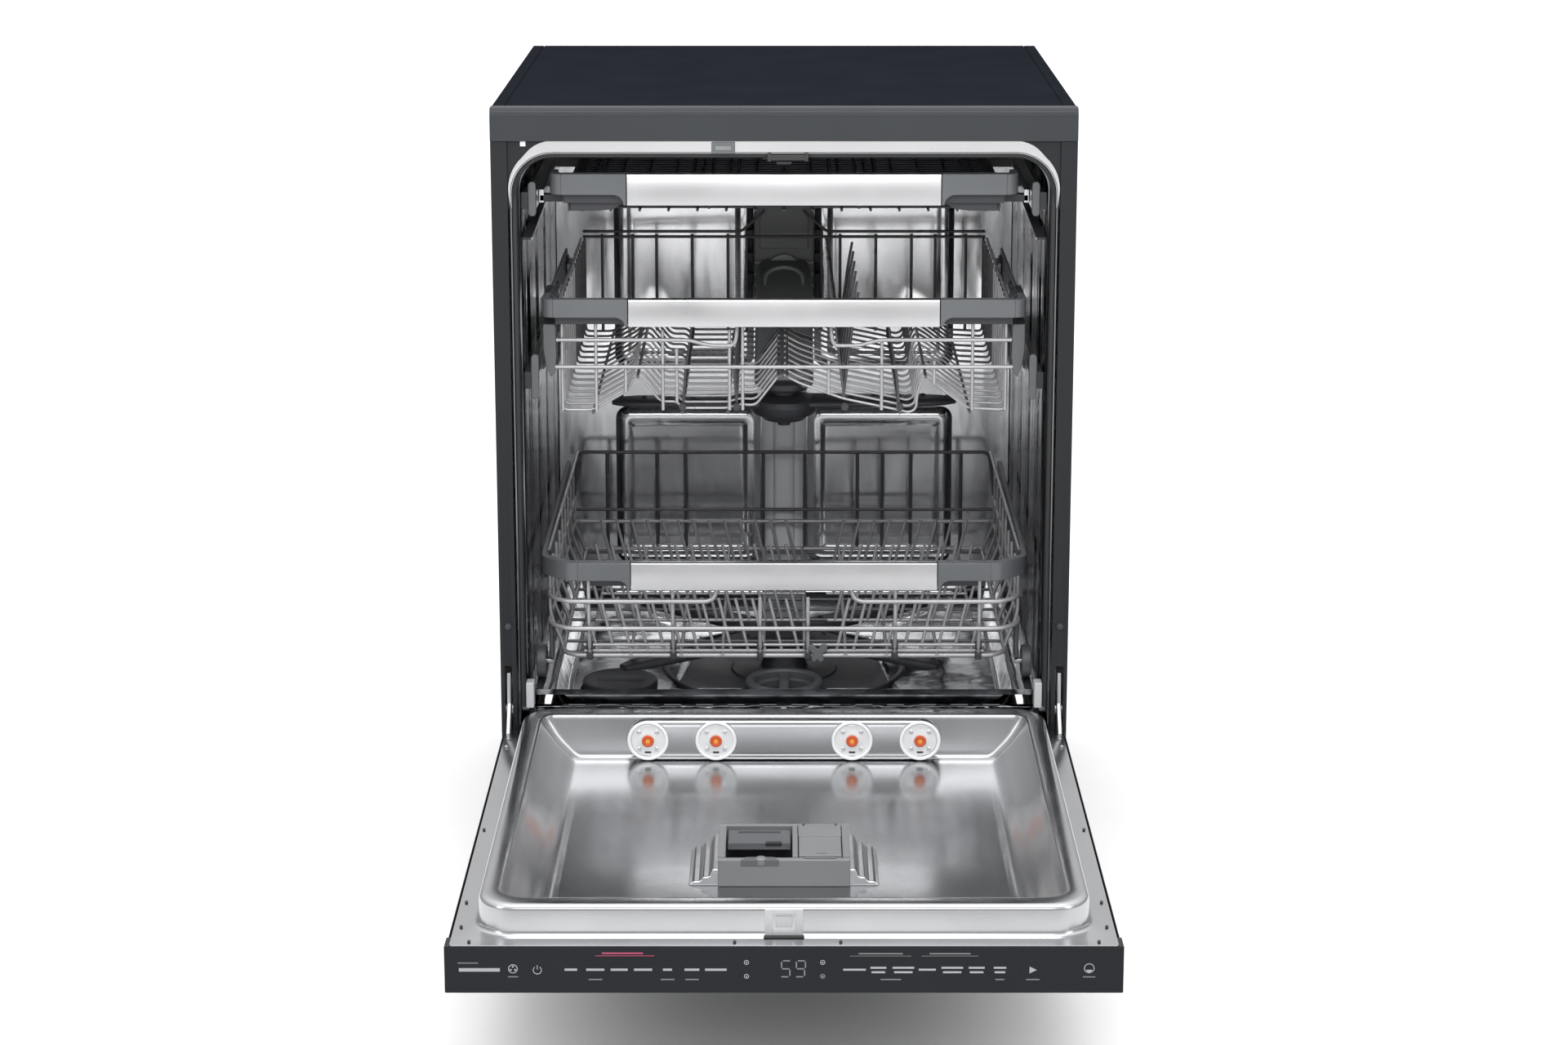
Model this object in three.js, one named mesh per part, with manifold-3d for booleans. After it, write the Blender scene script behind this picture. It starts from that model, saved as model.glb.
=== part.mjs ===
// A 60 cm dishwasher with its door open flat and its three racks pushed in.
// Millimetres. +X is the right side seen from the front, +Y runs back into the cabinet, +Z is up.
// The origin is on the floor, under the middle of the box that holds cabinet and open door.
import * as THREE from 'three';
import { mergeVertices } from 'three/addons/utils/BufferGeometryUtils.js';
import { ConvexGeometry } from 'three/addons/geometries/ConvexGeometry.js';
import Module from 'manifold-3d';

const wasm = await Module();
wasm.setup();

// ---------------------------------------------------------------- driving dimensions
const WIDTH = 600;
const HEIGHT = 850;
const DEPTH = 580; // worktop, front to back
const REACH = 592; // open door, from the cabinet's front to its far end
const FRONT = (REACH - DEPTH) / 2; // Y of the cabinet's front plane
const GAP = 0.3; // clearance between pieces that touch
const SHEET = 1.2; // outer sheet steel
const STAINLESS = 1.5; // tub and liner sheet

// Y at a distance behind the cabinet's front plane; negative is in front of it.
const behind = distance => FRONT + distance;

const TOP = { thick: 34, trimDeep: 20 };
const TOP_UNDERSIDE = HEIGHT - TOP.thick;
const FLANGE = { wide: 17, setBack: 2.5 }; // front flange of a side panel
const SIDE_FOOT = 20; // lowest edge of the side panels
const SLOT = { x: 291.5, wide: 8, low: 181, high: 256 }; // hinge slot in each front flange

const TUB = { half: 272, top: 796, radius: 40, front: 29.5, back: 515, floor: 186, ledge: 217, sill: 207 };
const MOUTH = { half: 279, top: 803, radius: 42, deep: 28 }; // opening that holds the gasket
const SEAL = 4.5; // gasket thickness

const HINGE = { y: behind(14), z: 205 };
const DOOR = { half: 297.5, skin: 144, flange: 188, capDeep: 22, tail: 72, tailThick: 20 };
const RIM = { half: 273, far: 569, near: 17, radius: 45, high: 217, wide: 20 }; // raised rim of the liner
const PAN = { half: 218, far: 516, near: 50, radius: 30, floor: 172 };
const LATCH_HOLE = { half: 10, low: 194, high: 210 };
const PANEL = { half: 299, thick: 3 };

const SUMP = { y: behind(215), radius: 137, low: 100 };
const FILTER = { y: behind(118), ring: 42, tube: 33, top: 205, low: 122 };
const SALT = { x: -181, y: behind(140), radius: 41.5, top: 199 };
const LOWER_ARM = { long: 222, short: 214, low: 222, high: 236 };
const UPPER_ARM = { y: behind(250), long: 194, low: 482, high: 494 };

const WIRE = 4; // side of a rack's square wire
const RACK_FRONT = behind(30);
const LOWER = { half: 238, back: behind(480), floor: 253, wall: 331, rear: 365 };
const LOWER_RIM = { half: 260, low: 332, high: 362, deep: 14, corner: 34 };
const UPPER_HANDLE = { half: 253, low: 617, high: 646 };
const UPPER = { half: 238, back: behind(470), floor: 520, wall: UPPER_HANDLE.low - GAP, rear: 643 };
const TRAY = { half: 226, back: behind(470), floor: 735, wall: 762 };
const TRAY_HANDLE = { half: 242.5, low: 745, high: 778 };
const HANDLE_DEEP = 13;
const WHEEL = { radius: 17.7, in: 257.5, out: 267.5, z: 235 };
const RAIL = { in: 256, out: 271.5, high: 18, front: behind(31), long: 410, skin: 2 };
const FOOT = { pad: 18, padHigh: 9, stem: 5, stemTop: 60, x: 262, front: behind(95), back: behind(535) };
const BASE = { half: 286, front: behind(122), back: behind(572), low: 18, high: 50, skin: 2.5 };

const KICK = { half: 292, y: behind(46), low: 12, high: 118 };

const SIDES = 20; // facets of a round piece

// ---------------------------------------------------------------- solids
const solid = geometry => {
  const bare = geometry.clone();
  bare.deleteAttribute('normal');
  bare.deleteAttribute('uv');
  const merged = mergeVertices(bare, 1e-3);
  const found = merged.index.array;
  const faces = [];
  for (let i = 0; i < found.length; i += 3) {
    const [a, b, c] = [found[i], found[i + 1], found[i + 2]];
    if (a !== b && b !== c && c !== a) faces.push(a, b, c);
  }
  const build = triVerts => new wasm.Manifold(new wasm.Mesh({
    numProp: 3,
    vertProperties: new Float32Array(merged.attributes.position.array),
    triVerts: new Uint32Array(triVerts),
  }));
  const made = build(faces);
  return made.volume() > 0 ? made : build(faces.reverse());
};

const block = (x0, x1, y0, y1, z0, z1) => {
  const box = new THREE.BoxGeometry(x1 - x0, y1 - y0, z1 - z0);
  return solid(box.translate((x0 + x1) / 2, (y0 + y1) / 2, (z0 + z1) / 2));
};

const extruded = (shape, depth, segments) =>
  new THREE.ExtrudeGeometry(shape, { depth, bevelEnabled: false, curveSegments: segments });

// A shape drawn in X and Y, raised from z0 to z1.
const raised = (shape, z0, z1, segments = 5) => solid(extruded(shape, z1 - z0, segments).translate(0, 0, z0));

// A shape drawn in X and Z, carried from y0 back to y1.
const carried = (shape, y0, y1, segments = 5) =>
  solid(extruded(shape, y1 - y0, segments).rotateX(Math.PI / 2).translate(0, y1, 0));

// A shape drawn in Y and Z, laid across from x0 to x1.
const across = (shape, x0, x1, segments = 5) => {
  const turn = new THREE.Matrix4().makeBasis(
    new THREE.Vector3(0, 1, 0), new THREE.Vector3(0, 0, 1), new THREE.Vector3(1, 0, 0));
  return solid(extruded(shape, x1 - x0, segments).applyMatrix4(turn).translate(x0, 0, 0));
};

// A profile of [radius, height] points turned about an upright axis.
const turned = (profile, x, y, sides = SIDES) => {
  const points = profile.map(([radius, z]) => new THREE.Vector2(radius, z));
  return solid(new THREE.LatheGeometry(points, sides).rotateX(Math.PI / 2).translate(x, y, 0));
};

const rod = (radius, z0, z1, x, y, sides = SIDES) =>
  turned([[0, z0], [radius, z0], [radius, z1], [0, z1]], x, y, sides);

// A round bar along X.
const crossBar = (radius, x0, x1, y, z, sides = 12) =>
  solid(new THREE.CylinderGeometry(radius, radius, x1 - x0, sides).rotateZ(Math.PI / 2)
    .translate((x0 + x1) / 2, y, z));

// A round bar along Y, about its own middle.
const endBar = (radius, long, sides) => solid(new THREE.CylinderGeometry(radius, radius, long, sides));

const joined = solids => solids.reduce((whole, piece) => whole.add(piece));
const mirrored = shape => shape.mirror([1, 0, 0]);

const outline = points => new THREE.Shape(points.map(([a, b]) => new THREE.Vector2(a, b)));

const roundedBox = (a0, a1, b0, b1, radius) => {
  const shape = new THREE.Shape();
  shape.moveTo(a0 + radius, b0);
  shape.lineTo(a1 - radius, b0);
  shape.absarc(a1 - radius, b0 + radius, radius, -Math.PI / 2, 0);
  shape.lineTo(a1, b1 - radius);
  shape.absarc(a1 - radius, b1 - radius, radius, 0, Math.PI / 2);
  shape.lineTo(a0 + radius, b1);
  shape.absarc(a0 + radius, b1 - radius, radius, Math.PI / 2, Math.PI);
  shape.lineTo(a0, b0 + radius);
  shape.absarc(a0 + radius, b0 + radius, radius, Math.PI, 1.5 * Math.PI);
  return shape;
};

// An arch open at its foot, as a closed outline of the given thickness.
const arch = (half, top, radius, thick, foot) => {
  const shape = new THREE.Shape();
  const out = radius + thick;
  shape.moveTo(half + thick, foot);
  shape.lineTo(half + thick, top - radius);
  shape.absarc(half - radius, top - radius, out, 0, Math.PI / 2);
  shape.lineTo(radius - half, top + thick);
  shape.absarc(radius - half, top - radius, out, Math.PI / 2, Math.PI);
  shape.lineTo(-half - thick, foot);
  shape.lineTo(-half, foot);
  shape.lineTo(-half, top - radius);
  shape.absarc(radius - half, top - radius, radius, Math.PI, Math.PI / 2, true);
  shape.lineTo(half - radius, top);
  shape.absarc(half - radius, top - radius, radius, Math.PI / 2, 0, true);
  shape.lineTo(half, foot);
  return shape;
};

// A flat grid of wires: columns by rows of open cells between them.
const grille = (a0, a1, b0, b1, columns, rows, thick = WIRE) => {
  const wide = (a1 - a0 - WIRE) / columns;
  const high = (b1 - b0 - WIRE) / rows;
  const cells = [];
  for (let i = 0; i < columns; i += 1) {
    for (let j = 0; j < rows; j += 1) {
      const [left, low] = [a0 + WIRE + i * wide, b0 + WIRE + j * high];
      cells.push(block(left, left + wide - WIRE, low, low + high - WIRE, -1, thick + 1));
    }
  }
  return block(a0, a1, b0, b1, 0, thick).subtract(joined(cells));
};

// The same grid stood up across the object, and stood up from front to back.
const grilleAcross = (...sizes) => grille(...sizes).rotate([90, 0, 0]).translate([0, WIRE, 0]);
const grilleAlong = (...sizes) => grille(...sizes).rotate([90, 0, 90]);

// ---------------------------------------------------------------- materials and meshes
const finish = (color, roughness, metalness = 0) =>
  new THREE.MeshStandardMaterial({ color, roughness, metalness });

const LOOK = {
  charcoal: finish('#34373b', 0.55),
  trim: finish('#55585c', 0.45),
  stainless: finish('#b9bcc0', 0.25, 1),
  zinc: finish('#8f9397', 0.45, 1),
  black: finish('#141517', 0.2),
  rubber: finish('#1b1c1e', 0.8),
  darkPlastic: finish('#3c3e42', 0.5),
  greyPlastic: finish('#64686b', 0.45),
  palePlastic: finish('#b5b8ba', 0.5),
  wire: finish('#9a9da0', 0.35, 0.6),
};

const mesh = (name, shape, material) => {
  const { vertProperties, triVerts } = shape.getMesh();
  const geometry = new THREE.BufferGeometry();
  geometry.setAttribute('position', new THREE.BufferAttribute(new Float32Array(vertProperties), 3));
  geometry.setIndex(new THREE.BufferAttribute(new Uint32Array(triVerts), 1));
  geometry.computeVertexNormals();
  const made = new THREE.Mesh(geometry, material);
  made.name = name;
  return made;
};

const group = meshes => {
  const made = new THREE.Group();
  made.add(...meshes);
  return made;
};

// ---------------------------------------------------------------- cabinet
const sidePanel = () => {
  const back = behind(DEPTH - 8);
  const front = behind(FLANGE.setBack);
  const [out, inside] = [WIDTH / 2, WIDTH / 2 - SHEET];
  const flangeEdge = out - FLANGE.wide;
  const shell = raised(outline([
    [flangeEdge, front], [out, front], [out, back], [inside, back],
    [inside, front + SHEET], [flangeEdge, front + SHEET],
  ]), SIDE_FOOT, TOP_UNDERSIDE - GAP);
  const [x0, x1] = [SLOT.x - SLOT.wide / 2, SLOT.x + SLOT.wide / 2];
  return shell.subtract(block(x0, x1, front - 5, front + 5, SLOT.low, SLOT.high));
};

const worktop = () => block(
  -WIDTH / 2, WIDTH / 2, behind(TOP.trimDeep + GAP), behind(DEPTH), TOP_UNDERSIDE, HEIGHT - 1);

const worktopTrim = () => {
  const [front, back] = [behind(0), behind(TOP.trimDeep)];
  const step = 5;
  return across(outline([
    [front, TOP_UNDERSIDE], [back, TOP_UNDERSIDE], [back, HEIGHT], [front + step, HEIGHT],
    [front + 1.5, HEIGHT - step], [front + 1.5, HEIGHT - step - 1], [front, HEIGHT - step - 2],
  ]), -WIDTH / 2, WIDTH / 2);
};

const tubWrap = () => {
  const foot = TUB.floor - 14;
  const mouth = wide => arch(MOUTH.half, MOUTH.top, MOUTH.radius, wide, foot + 24);
  const wall = wide => arch(TUB.half, TUB.top, TUB.radius, wide, foot);
  const frontFace = carried(mouth(4), behind(3), behind(3 + STAINLESS));
  const channel = carried(mouth(STAINLESS), behind(3), behind(TUB.front));
  const step = carried(wall(MOUTH.half - TUB.half + 1), behind(MOUTH.deep), behind(TUB.front));
  const walls = carried(wall(STAINLESS), behind(MOUTH.deep), behind(TUB.back));
  return joined([frontFace, channel, step, walls]);
};

const gasket = () => carried(
  arch(MOUTH.half - GAP - SEAL, MOUTH.top - GAP - SEAL, MOUTH.radius - SEAL, SEAL, TUB.sill + 14),
  behind(5.5), behind(20));

const tubFloor = () => {
  const [out, shelf, low] = [TUB.half - GAP, 245, 234];
  const [ledge, floor, thick] = [TUB.ledge, TUB.floor, 2];
  const pressing = carried(outline([
    [-out, ledge - thick], [-shelf - 2, ledge - thick], [-low - 2, floor - thick], [low + 2, floor - thick],
    [shelf + 2, ledge - thick], [out, ledge - thick], [out, ledge], [shelf, ledge], [low, floor],
    [-low, floor], [-shelf, ledge], [-out, ledge],
  ]), behind(30), behind(TUB.back - 1));
  const sill = across(outline([
    [behind(2), TUB.sill - 12], [behind(4), TUB.sill - 12], [behind(4), TUB.sill - 2],
    [behind(24), TUB.sill - 2], [behind(30), TUB.floor - 2], [behind(32), TUB.floor - 2],
    [behind(32), TUB.floor], [behind(25), TUB.sill], [behind(2), TUB.sill],
  ]), -out, out);
  const side = block(shelf, out, behind(2), behind(31), TUB.sill - 1, TUB.ledge);
  const well = rod(SUMP.radius + GAP, 150, 230, 0, SUMP.y, 32);
  const saltHole = rod(SALT.radius - 8, 150, 230, SALT.x, SALT.y);
  return joined([pressing, sill, side, mirrored(side)]).subtract(well).subtract(saltHole);
};

const tubBack = () => {
  const [low, high] = [TUB.floor - 10, TUB.top - 8];
  const plate = carried(outline([
    [-TUB.half + 1, low], [TUB.half - 1, low], [TUB.half - 1, high - 40], [TUB.half - 40, high],
    [-TUB.half + 40, high], [-TUB.half + 1, high - 40],
  ]), behind(TUB.back + GAP), behind(TUB.back + GAP + STAINLESS));
  const proud = behind(508);
  const press = (inset, y0, y1) => [[235, 415], [470, 690]].map(([z0, z1]) =>
    carried(roundedBox(40 + inset, 202 - inset, z0 + inset, z1 - inset, 12 - inset), y0, y1, 3));
  const panels = press(0, proud, behind(TUB.back + 1));
  const hollows = press(STAINLESS, proud + STAINLESS, behind(TUB.back + 5));
  return joined([plate, ...panels, ...panels.map(mirrored)])
    .subtract(joined([...hollows, ...hollows.map(mirrored)]));
};

const waterDuct = () => {
  const run = carried(roundedBox(-27, 27, TUB.floor + 4, 545, 6), behind(497), behind(TUB.back - GAP), 3);
  return run.add(block(-9, 9, behind(490), behind(500), TUB.floor + 4, 430));
};

const dockingDuct = () => {
  const hood = carried(outline([[-36, 552], [36, 552], [36, 655], [20, 712], [-20, 712], [-36, 655]]),
    behind(489), behind(TUB.back - GAP));
  return hood.subtract(block(-22, 22, behind(480), behind(496), 566, 606));
};

const latchStrike = () => {
  const plate = block(-22, 22, behind(31), behind(50), 792.5, TUB.top - GAP);
  return plate.add(block(-8, 8, behind(8), behind(34), 791, 794.5));
};

const basePan = () => {
  const { half, front, back, low, high, skin } = BASE;
  const tray = block(-half, half, front, back, low, high)
    .subtract(block(-half + skin, half - skin, front + skin, back - skin, low + skin, high + 5));
  const rail = block(half - 52, half, behind(62), front + skin, low, low + 22);
  const holes = [];
  for (const x of [-FOOT.x, FOOT.x]) {
    for (const y of [FOOT.front, FOOT.back]) holes.push(rod(FOOT.stem + 0.6, 0, 80, x, y, 12));
  }
  return joined([tray, rail, mirrored(rail)]).subtract(joined(holes));
};

const foot = (x, y) => turned([
  [0, 0], [FOOT.pad, 0], [FOOT.pad, FOOT.padHigh - 3], [FOOT.stem + 3, FOOT.padHigh + 2],
  [FOOT.stem, FOOT.padHigh + 2], [FOOT.stem, FOOT.stemTop], [0, FOOT.stemTop],
], x, y, 16);

const kickPlate = () => {
  const { half, y, low, high } = KICK;
  return block(-half, half, y, y + SHEET, low, high).add(block(-half, half, y, y + 14, high - SHEET, high));
};

const backCover = () => {
  const plate = block(-292, 292, behind(573), behind(573 + SHEET), 60, TOP_UNDERSIDE - 6);
  const spigot = endBar(9, 14, 14).translate([-225, behind(572.5), 150]);
  return plate.add(spigot).subtract(block(180, 235, behind(560), behind(585), 70, 110));
};

const sump = () => {
  const dish = turned([
    [0, 184], [95, 182], [SUMP.radius, 188], [SUMP.radius, 192], [96, 187], [24, 187], [20, 212], [0, 212],
  ], 0, SUMP.y, 32);
  const bowl = turned([
    [0, SUMP.low], [70, SUMP.low], [92, SUMP.low + 30], [92, 185], [0, 185],
  ], 0, SUMP.y - 18, 24);
  const port = crossBar(16, 60, 112, SUMP.y, 135);
  const wellWall = rod(FILTER.tube + 6, FILTER.low - 8, 186, 0, FILTER.y, 24);
  const well = rod(FILTER.tube + 2, FILTER.low - 4, 230, 0, FILTER.y, 24);
  return joined([dish, bowl, port, wellWall]).subtract(well);
};

const filterCylinder = () => {
  const { ring: out, tube, top, low, y } = FILTER;
  const wall = turned([
    [tube - 3, low], [tube, low], [tube, top - 12], [out, top - 12], [out, top], [out - 8, top],
    [out - 8, top - 8], [tube - 3, top - 16], [tube - 3, low],
  ], 0, y, 24);
  const bridge = block(-5, 5, y - out + 5, y + out - 5, top - 8, top - 1);
  return wall.add(bridge);
};

const saltCap = () => {
  const { x, y, radius, top } = SALT;
  const cap = turned([[0, 189], [radius, 189], [radius, top - 6], [radius - 5, top], [0, top]], x, y, 24);
  return cap.add(rod(radius - 10, 170, 190, x, y));
};

const armBlade = (length, root, tip, low, high, angle) => {
  const blade = raised(outline([
    [0, -root], [length, -tip], [length + tip, 0], [length, tip], [0, root],
  ]), low, high);
  return blade.rotate([0, 0, angle]);
};

const lowerArm = () => {
  const { long, short, low, high } = LOWER_ARM;
  const blades = [[long, 37], [short, 143], [long, 217], [short, 323]]
    .map(([length, angle]) => armBlade(length - 14, 21, 13, low, high, angle));
  const hub = rod(30, low - 8, high + 6, 0, 0).subtract(rod(21, low - 20, low + 2, 0, 0));
  return joined([hub, ...blades]).translate([0, SUMP.y, 0]);
};

const upperArm = () => {
  const { long, low, high, y } = UPPER_ARM;
  const blades = [1, 181].map(angle => armBlade(long - 12, 24, 12, low, high, angle));
  const hub = turned([
    [0, 461], [20, 461], [36, low], [36, high - 2], [18, high + 4], [16, high + 8], [0, high + 8],
  ], 0, 0);
  return joined([hub, ...blades]).translate([0, y, 0]);
};

const washPump = () => {
  const motor = crossBar(44, 20, 150, behind(400), 108, 20);
  const volute = crossBar(54, -22, 20, behind(400), 108, 20);
  return motor.add(volute).add(block(-14, 14, behind(345), behind(400), 92, 122));
};

const drainPump = () => {
  const body = crossBar(26, -225, -140, behind(330), 110, 16);
  return body.add(crossBar(12, -141, -108, behind(330), 118, 12));
};

const steamGenerator = () => block(175, 250, behind(160), behind(290), 62, 150)
  .add(crossBar(8, 150, 176, behind(200), 130, 10));

const inletValve = () => block(-215, -175, behind(515), behind(560), 62, 105)
  .add(endBar(12, 18, 14).translate([-195, behind(562), 84]));

const doorSpring = () => {
  const coil = endBar(8.5, 210, 12).translate([286, behind(290), 118]);
  return coil.add(block(284.5, 287.5, behind(390), behind(425), 114, 122));
};

const cabinet = group([
  mesh('left_side_panel', mirrored(sidePanel()), LOOK.charcoal),
  mesh('right_side_panel', sidePanel(), LOOK.charcoal),
  mesh('back_cover', backCover(), LOOK.zinc),
  mesh('worktop', worktop(), LOOK.charcoal),
  mesh('worktop_front_trim', worktopTrim(), LOOK.trim),
  mesh('base_pan', basePan(), LOOK.darkPlastic),
  mesh('kick_plate', kickPlate(), LOOK.charcoal),
  mesh('tub_wrap', tubWrap(), LOOK.stainless),
  mesh('tub_floor', tubFloor(), LOOK.stainless),
  mesh('tub_back_wall', tubBack(), LOOK.stainless),
  mesh('door_gasket', gasket(), LOOK.rubber),
  mesh('latch_strike', latchStrike(), LOOK.black),
  mesh('rear_water_duct', waterDuct(), LOOK.palePlastic),
  mesh('rear_docking_duct', dockingDuct(), LOOK.darkPlastic),
  mesh('sump', sump(), LOOK.darkPlastic),
  mesh('wash_pump', washPump(), LOOK.zinc),
  mesh('drain_pump', drainPump(), LOOK.darkPlastic),
  mesh('steam_generator', steamGenerator(), LOOK.zinc),
  mesh('inlet_valve', inletValve(), LOOK.palePlastic),
  mesh('door_spring_left', mirrored(doorSpring()), LOOK.zinc),
  mesh('door_spring_right', doorSpring(), LOOK.zinc),
  mesh('filter_cylinder', filterCylinder(), LOOK.darkPlastic),
  mesh('salt_cap', saltCap(), LOOK.darkPlastic),
  mesh('lower_spray_arm', lowerArm(), LOOK.darkPlastic),
  mesh('foot_front_left', foot(-FOOT.x, FOOT.front), LOOK.black),
  mesh('foot_front_right', foot(FOOT.x, FOOT.front), LOOK.black),
  mesh('foot_rear_left', foot(-FOOT.x, FOOT.back), LOOK.black),
  mesh('foot_rear_right', foot(FOOT.x, FOOT.back), LOOK.black),
]);

// ---------------------------------------------------------------- door, open flat
const KEY_DEEP = 5;
const START = { x: 219, z: 166, wide: 24, high: 13 };
const POWER = { x: -217, z: 166, radius: 8 };
const POCKET = { half: 78, far: 556, near: 514, deep: 24 }; // finger grip in the outer panel

const outerPanel = () => {
  const { half, skin, flange, capDeep, tail, tailThick } = DOOR;
  const [far, near] = [behind(capDeep - REACH), behind(tail)];
  const shellTop = flange - STAINLESS - GAP;
  const box = block(-half, half, far, behind(-6), skin, shellTop);
  const hollow = block(-half + SHEET, half - SHEET, far - 5, behind(5), skin + SHEET, flange + 5);
  const skirt = block(-half + 22, half - 22, behind(-6), near, skin, skin + SHEET);
  const returned = block(-half + 22, half - 22, near - SHEET, near, skin, skin + tailThick);
  const { half: grip, far: from, near: to, deep } = POCKET;
  const cup = block(-grip - SHEET, grip + SHEET, behind(-from) - SHEET, behind(-to) + SHEET,
    skin, skin + deep + SHEET);
  const cut = block(-grip, grip, behind(-from), behind(-to), skin - 5, skin + deep);
  return joined([box.subtract(hollow), skirt, returned, cup]).subtract(cut);
};

// Corner points of a rounded rectangle at one height, for a tapered solid.
const ring = (half, far, near, radius, z) => roundedBox(-half, half, behind(-far), behind(-near), radius)
  .getPoints(4).map(({ x, y }) => new THREE.Vector3(x, y, z));

const tapered = (low, high) => solid(new ConvexGeometry([...low, ...high]));

const panSolid = grow => tapered(
  ring(PAN.half + grow, PAN.far + grow, PAN.near - grow, PAN.radius, PAN.floor - grow),
  ring(RIM.half - RIM.wide + grow, RIM.far - RIM.wide - 3 + grow, RIM.near + 25 - grow, 30,
    RIM.high + 0.01 + grow));

const latchHole = () => {
  const { half, low, high } = LATCH_HOLE;
  return block(-half, half, behind(-RIM.far) - 5, behind(-RIM.far) + 8, low, high);
};

const innerLiner = () => {
  const { half, far, near, radius, high } = RIM;
  const edge = behind(-near);
  const flangePlate = block(-DOOR.half + 1, DOOR.half - 1, behind(DOOR.capDeep - REACH), behind(-4),
    DOOR.flange - STAINLESS, DOOR.flange);
  const rim = raised(roundedBox(-half, half, behind(-far), edge, radius), PAN.floor - STAINLESS, high);
  const inner = STAINLESS;
  const under = raised(
    roundedBox(-half + inner, half - inner, behind(-far) + inner, edge - inner, radius - inner),
    PAN.floor - 20, high - STAINLESS);
  const sheet = panSolid(STAINLESS).intersect(rim);
  const armSlot = block(SLOT.x - 6, DOOR.half + 2, behind(-36), behind(0), DOOR.flange - 5, DOOR.flange + 5);
  return joined([flangePlate, rim]).subtract(under.subtract(sheet))
    .subtract(joined([panSolid(0), armSlot, mirrored(armSlot), latchHole()]));
};

const controlPanel = () => {
  const { half, thick } = PANEL;
  const [face, back] = [behind(-REACH), behind(DOOR.capDeep - REACH) - GAP];
  const shell = block(-half, half, face, back, DOOR.skin, DOOR.flange)
    .subtract(block(-half + thick, half - thick, face + thick, back + 5,
      DOOR.skin + thick, DOOR.flange - thick));
  const powerHole = endBar(POWER.radius + 0.4, 20, 24).translate([POWER.x, face, POWER.z]);
  const { x, z, wide, high } = START;
  const gap = 0.4;
  const startHole = block(x - wide / 2 - gap, x + wide / 2 + gap, face - 5, face + 5,
    z - high / 2 - gap, z + high / 2 + gap);
  return shell.subtract(powerHole).subtract(startHole);
};


const powerButton = () => endBar(POWER.radius, KEY_DEEP, 24)
  .translate([POWER.x, behind(-REACH) + KEY_DEEP / 2, POWER.z]);

const startButton = () => {
  const { x, z, wide, high } = START;
  const face = behind(-REACH);
  return block(x - wide / 2, x + wide / 2, face, face + KEY_DEEP, z - high / 2, z + high / 2);
};

const nozzleBar = () => {
  const pill = roundedBox(-164, 164, PAN.floor + 0.6, PAN.floor + 44, 21.5);
  return carried(pill, behind(-59), behind(-PAN.near - GAP), 6);
};

const DISPENSER = { half: 62, far: 412, near: 318, low: PAN.floor + GAP, high: 200 };
const CUP = { left: -54, right: 7, far: 405, near: 327, floor: 178 };
const LID = { long: 44, low: 193, high: 197 };
const RINSE = { left: 14, right: 54, far: 405, long: 50, thick: 3.5 };

const dispenser = () => {
  const { half, far, near, low, high } = DISPENSER;
  const body = tapered(ring(half + 4, far + 4, near - 4, 6, low), ring(half, far, near, 4, high));
  const cup = block(CUP.left, CUP.right, behind(-CUP.far), behind(-CUP.near), CUP.floor, high + 5);
  const tank = block(RINSE.left - GAP, RINSE.right + GAP, behind(-RINSE.far) - GAP,
    behind(RINSE.long - RINSE.far) + GAP, high - RINSE.thick - GAP, high + 5);
  const port = rod(11, high - 14, high, (RINSE.left + RINSE.right) / 2, behind(-RINSE.far + 24), 16);
  return body.subtract(cup).subtract(tank).subtract(port);
};

const detergentLid = () => {
  const back = behind(-CUP.near) - GAP;
  const lid = block(CUP.left + GAP, CUP.right - GAP, back - LID.long, back, LID.low, LID.high);
  return lid.add(block(-38, -9, back - LID.long + 4, back - LID.long + 8, LID.high - 1, LID.high + 2.5));
};

const rinseLid = () => block(RINSE.left, RINSE.right, behind(-RINSE.far), behind(RINSE.long - RINSE.far),
  DISPENSER.high - RINSE.thick, DISPENSER.high + 1);

const latchPlate = () => {
  const [front, back] = [behind(-RIM.far) - 1.5 - GAP, behind(-RIM.far) - GAP];
  return block(-17, 17, front, back, DOOR.flange + GAP, 214).subtract(latchHole());
};

const hingeArm = () => {
  const [x0, x1] = [SLOT.x - 2, SLOT.x + 2];
  const arm = across(outline([
    [behind(-150), 150], [behind(-26), 150], [behind(0), 187], [behind(30), 197], [behind(30), 212],
    [behind(20), 220], [behind(12), 248], [behind(4), 248], [behind(2), 215], [behind(-24), 182],
    [behind(-150), 182],
  ]), x0, x1);
  return arm.add(crossBar(7, x0 - 3, x1 + 3, HINGE.y, HINGE.z, 14));
};

const door = group([
  mesh('door_outer_panel', outerPanel(), LOOK.charcoal),
  mesh('door_inner_liner', innerLiner(), LOOK.stainless),
  mesh('control_panel', controlPanel(), LOOK.black),
  mesh('power_button', powerButton(), LOOK.black),
  mesh('start_button', startButton(), LOOK.black),
  mesh('steam_nozzle_bar', nozzleBar(), LOOK.stainless),
  mesh('dispenser_housing', dispenser(), LOOK.greyPlastic),
  mesh('detergent_lid', detergentLid(), LOOK.darkPlastic),
  mesh('rinse_aid_lid', rinseLid(), LOOK.greyPlastic),
  mesh('latch_plate', latchPlate(), LOOK.palePlastic),
  mesh('hinge_arm_left', mirrored(hingeArm()), LOOK.zinc),
  mesh('hinge_arm_right', hingeArm(), LOOK.zinc),
]);

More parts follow.
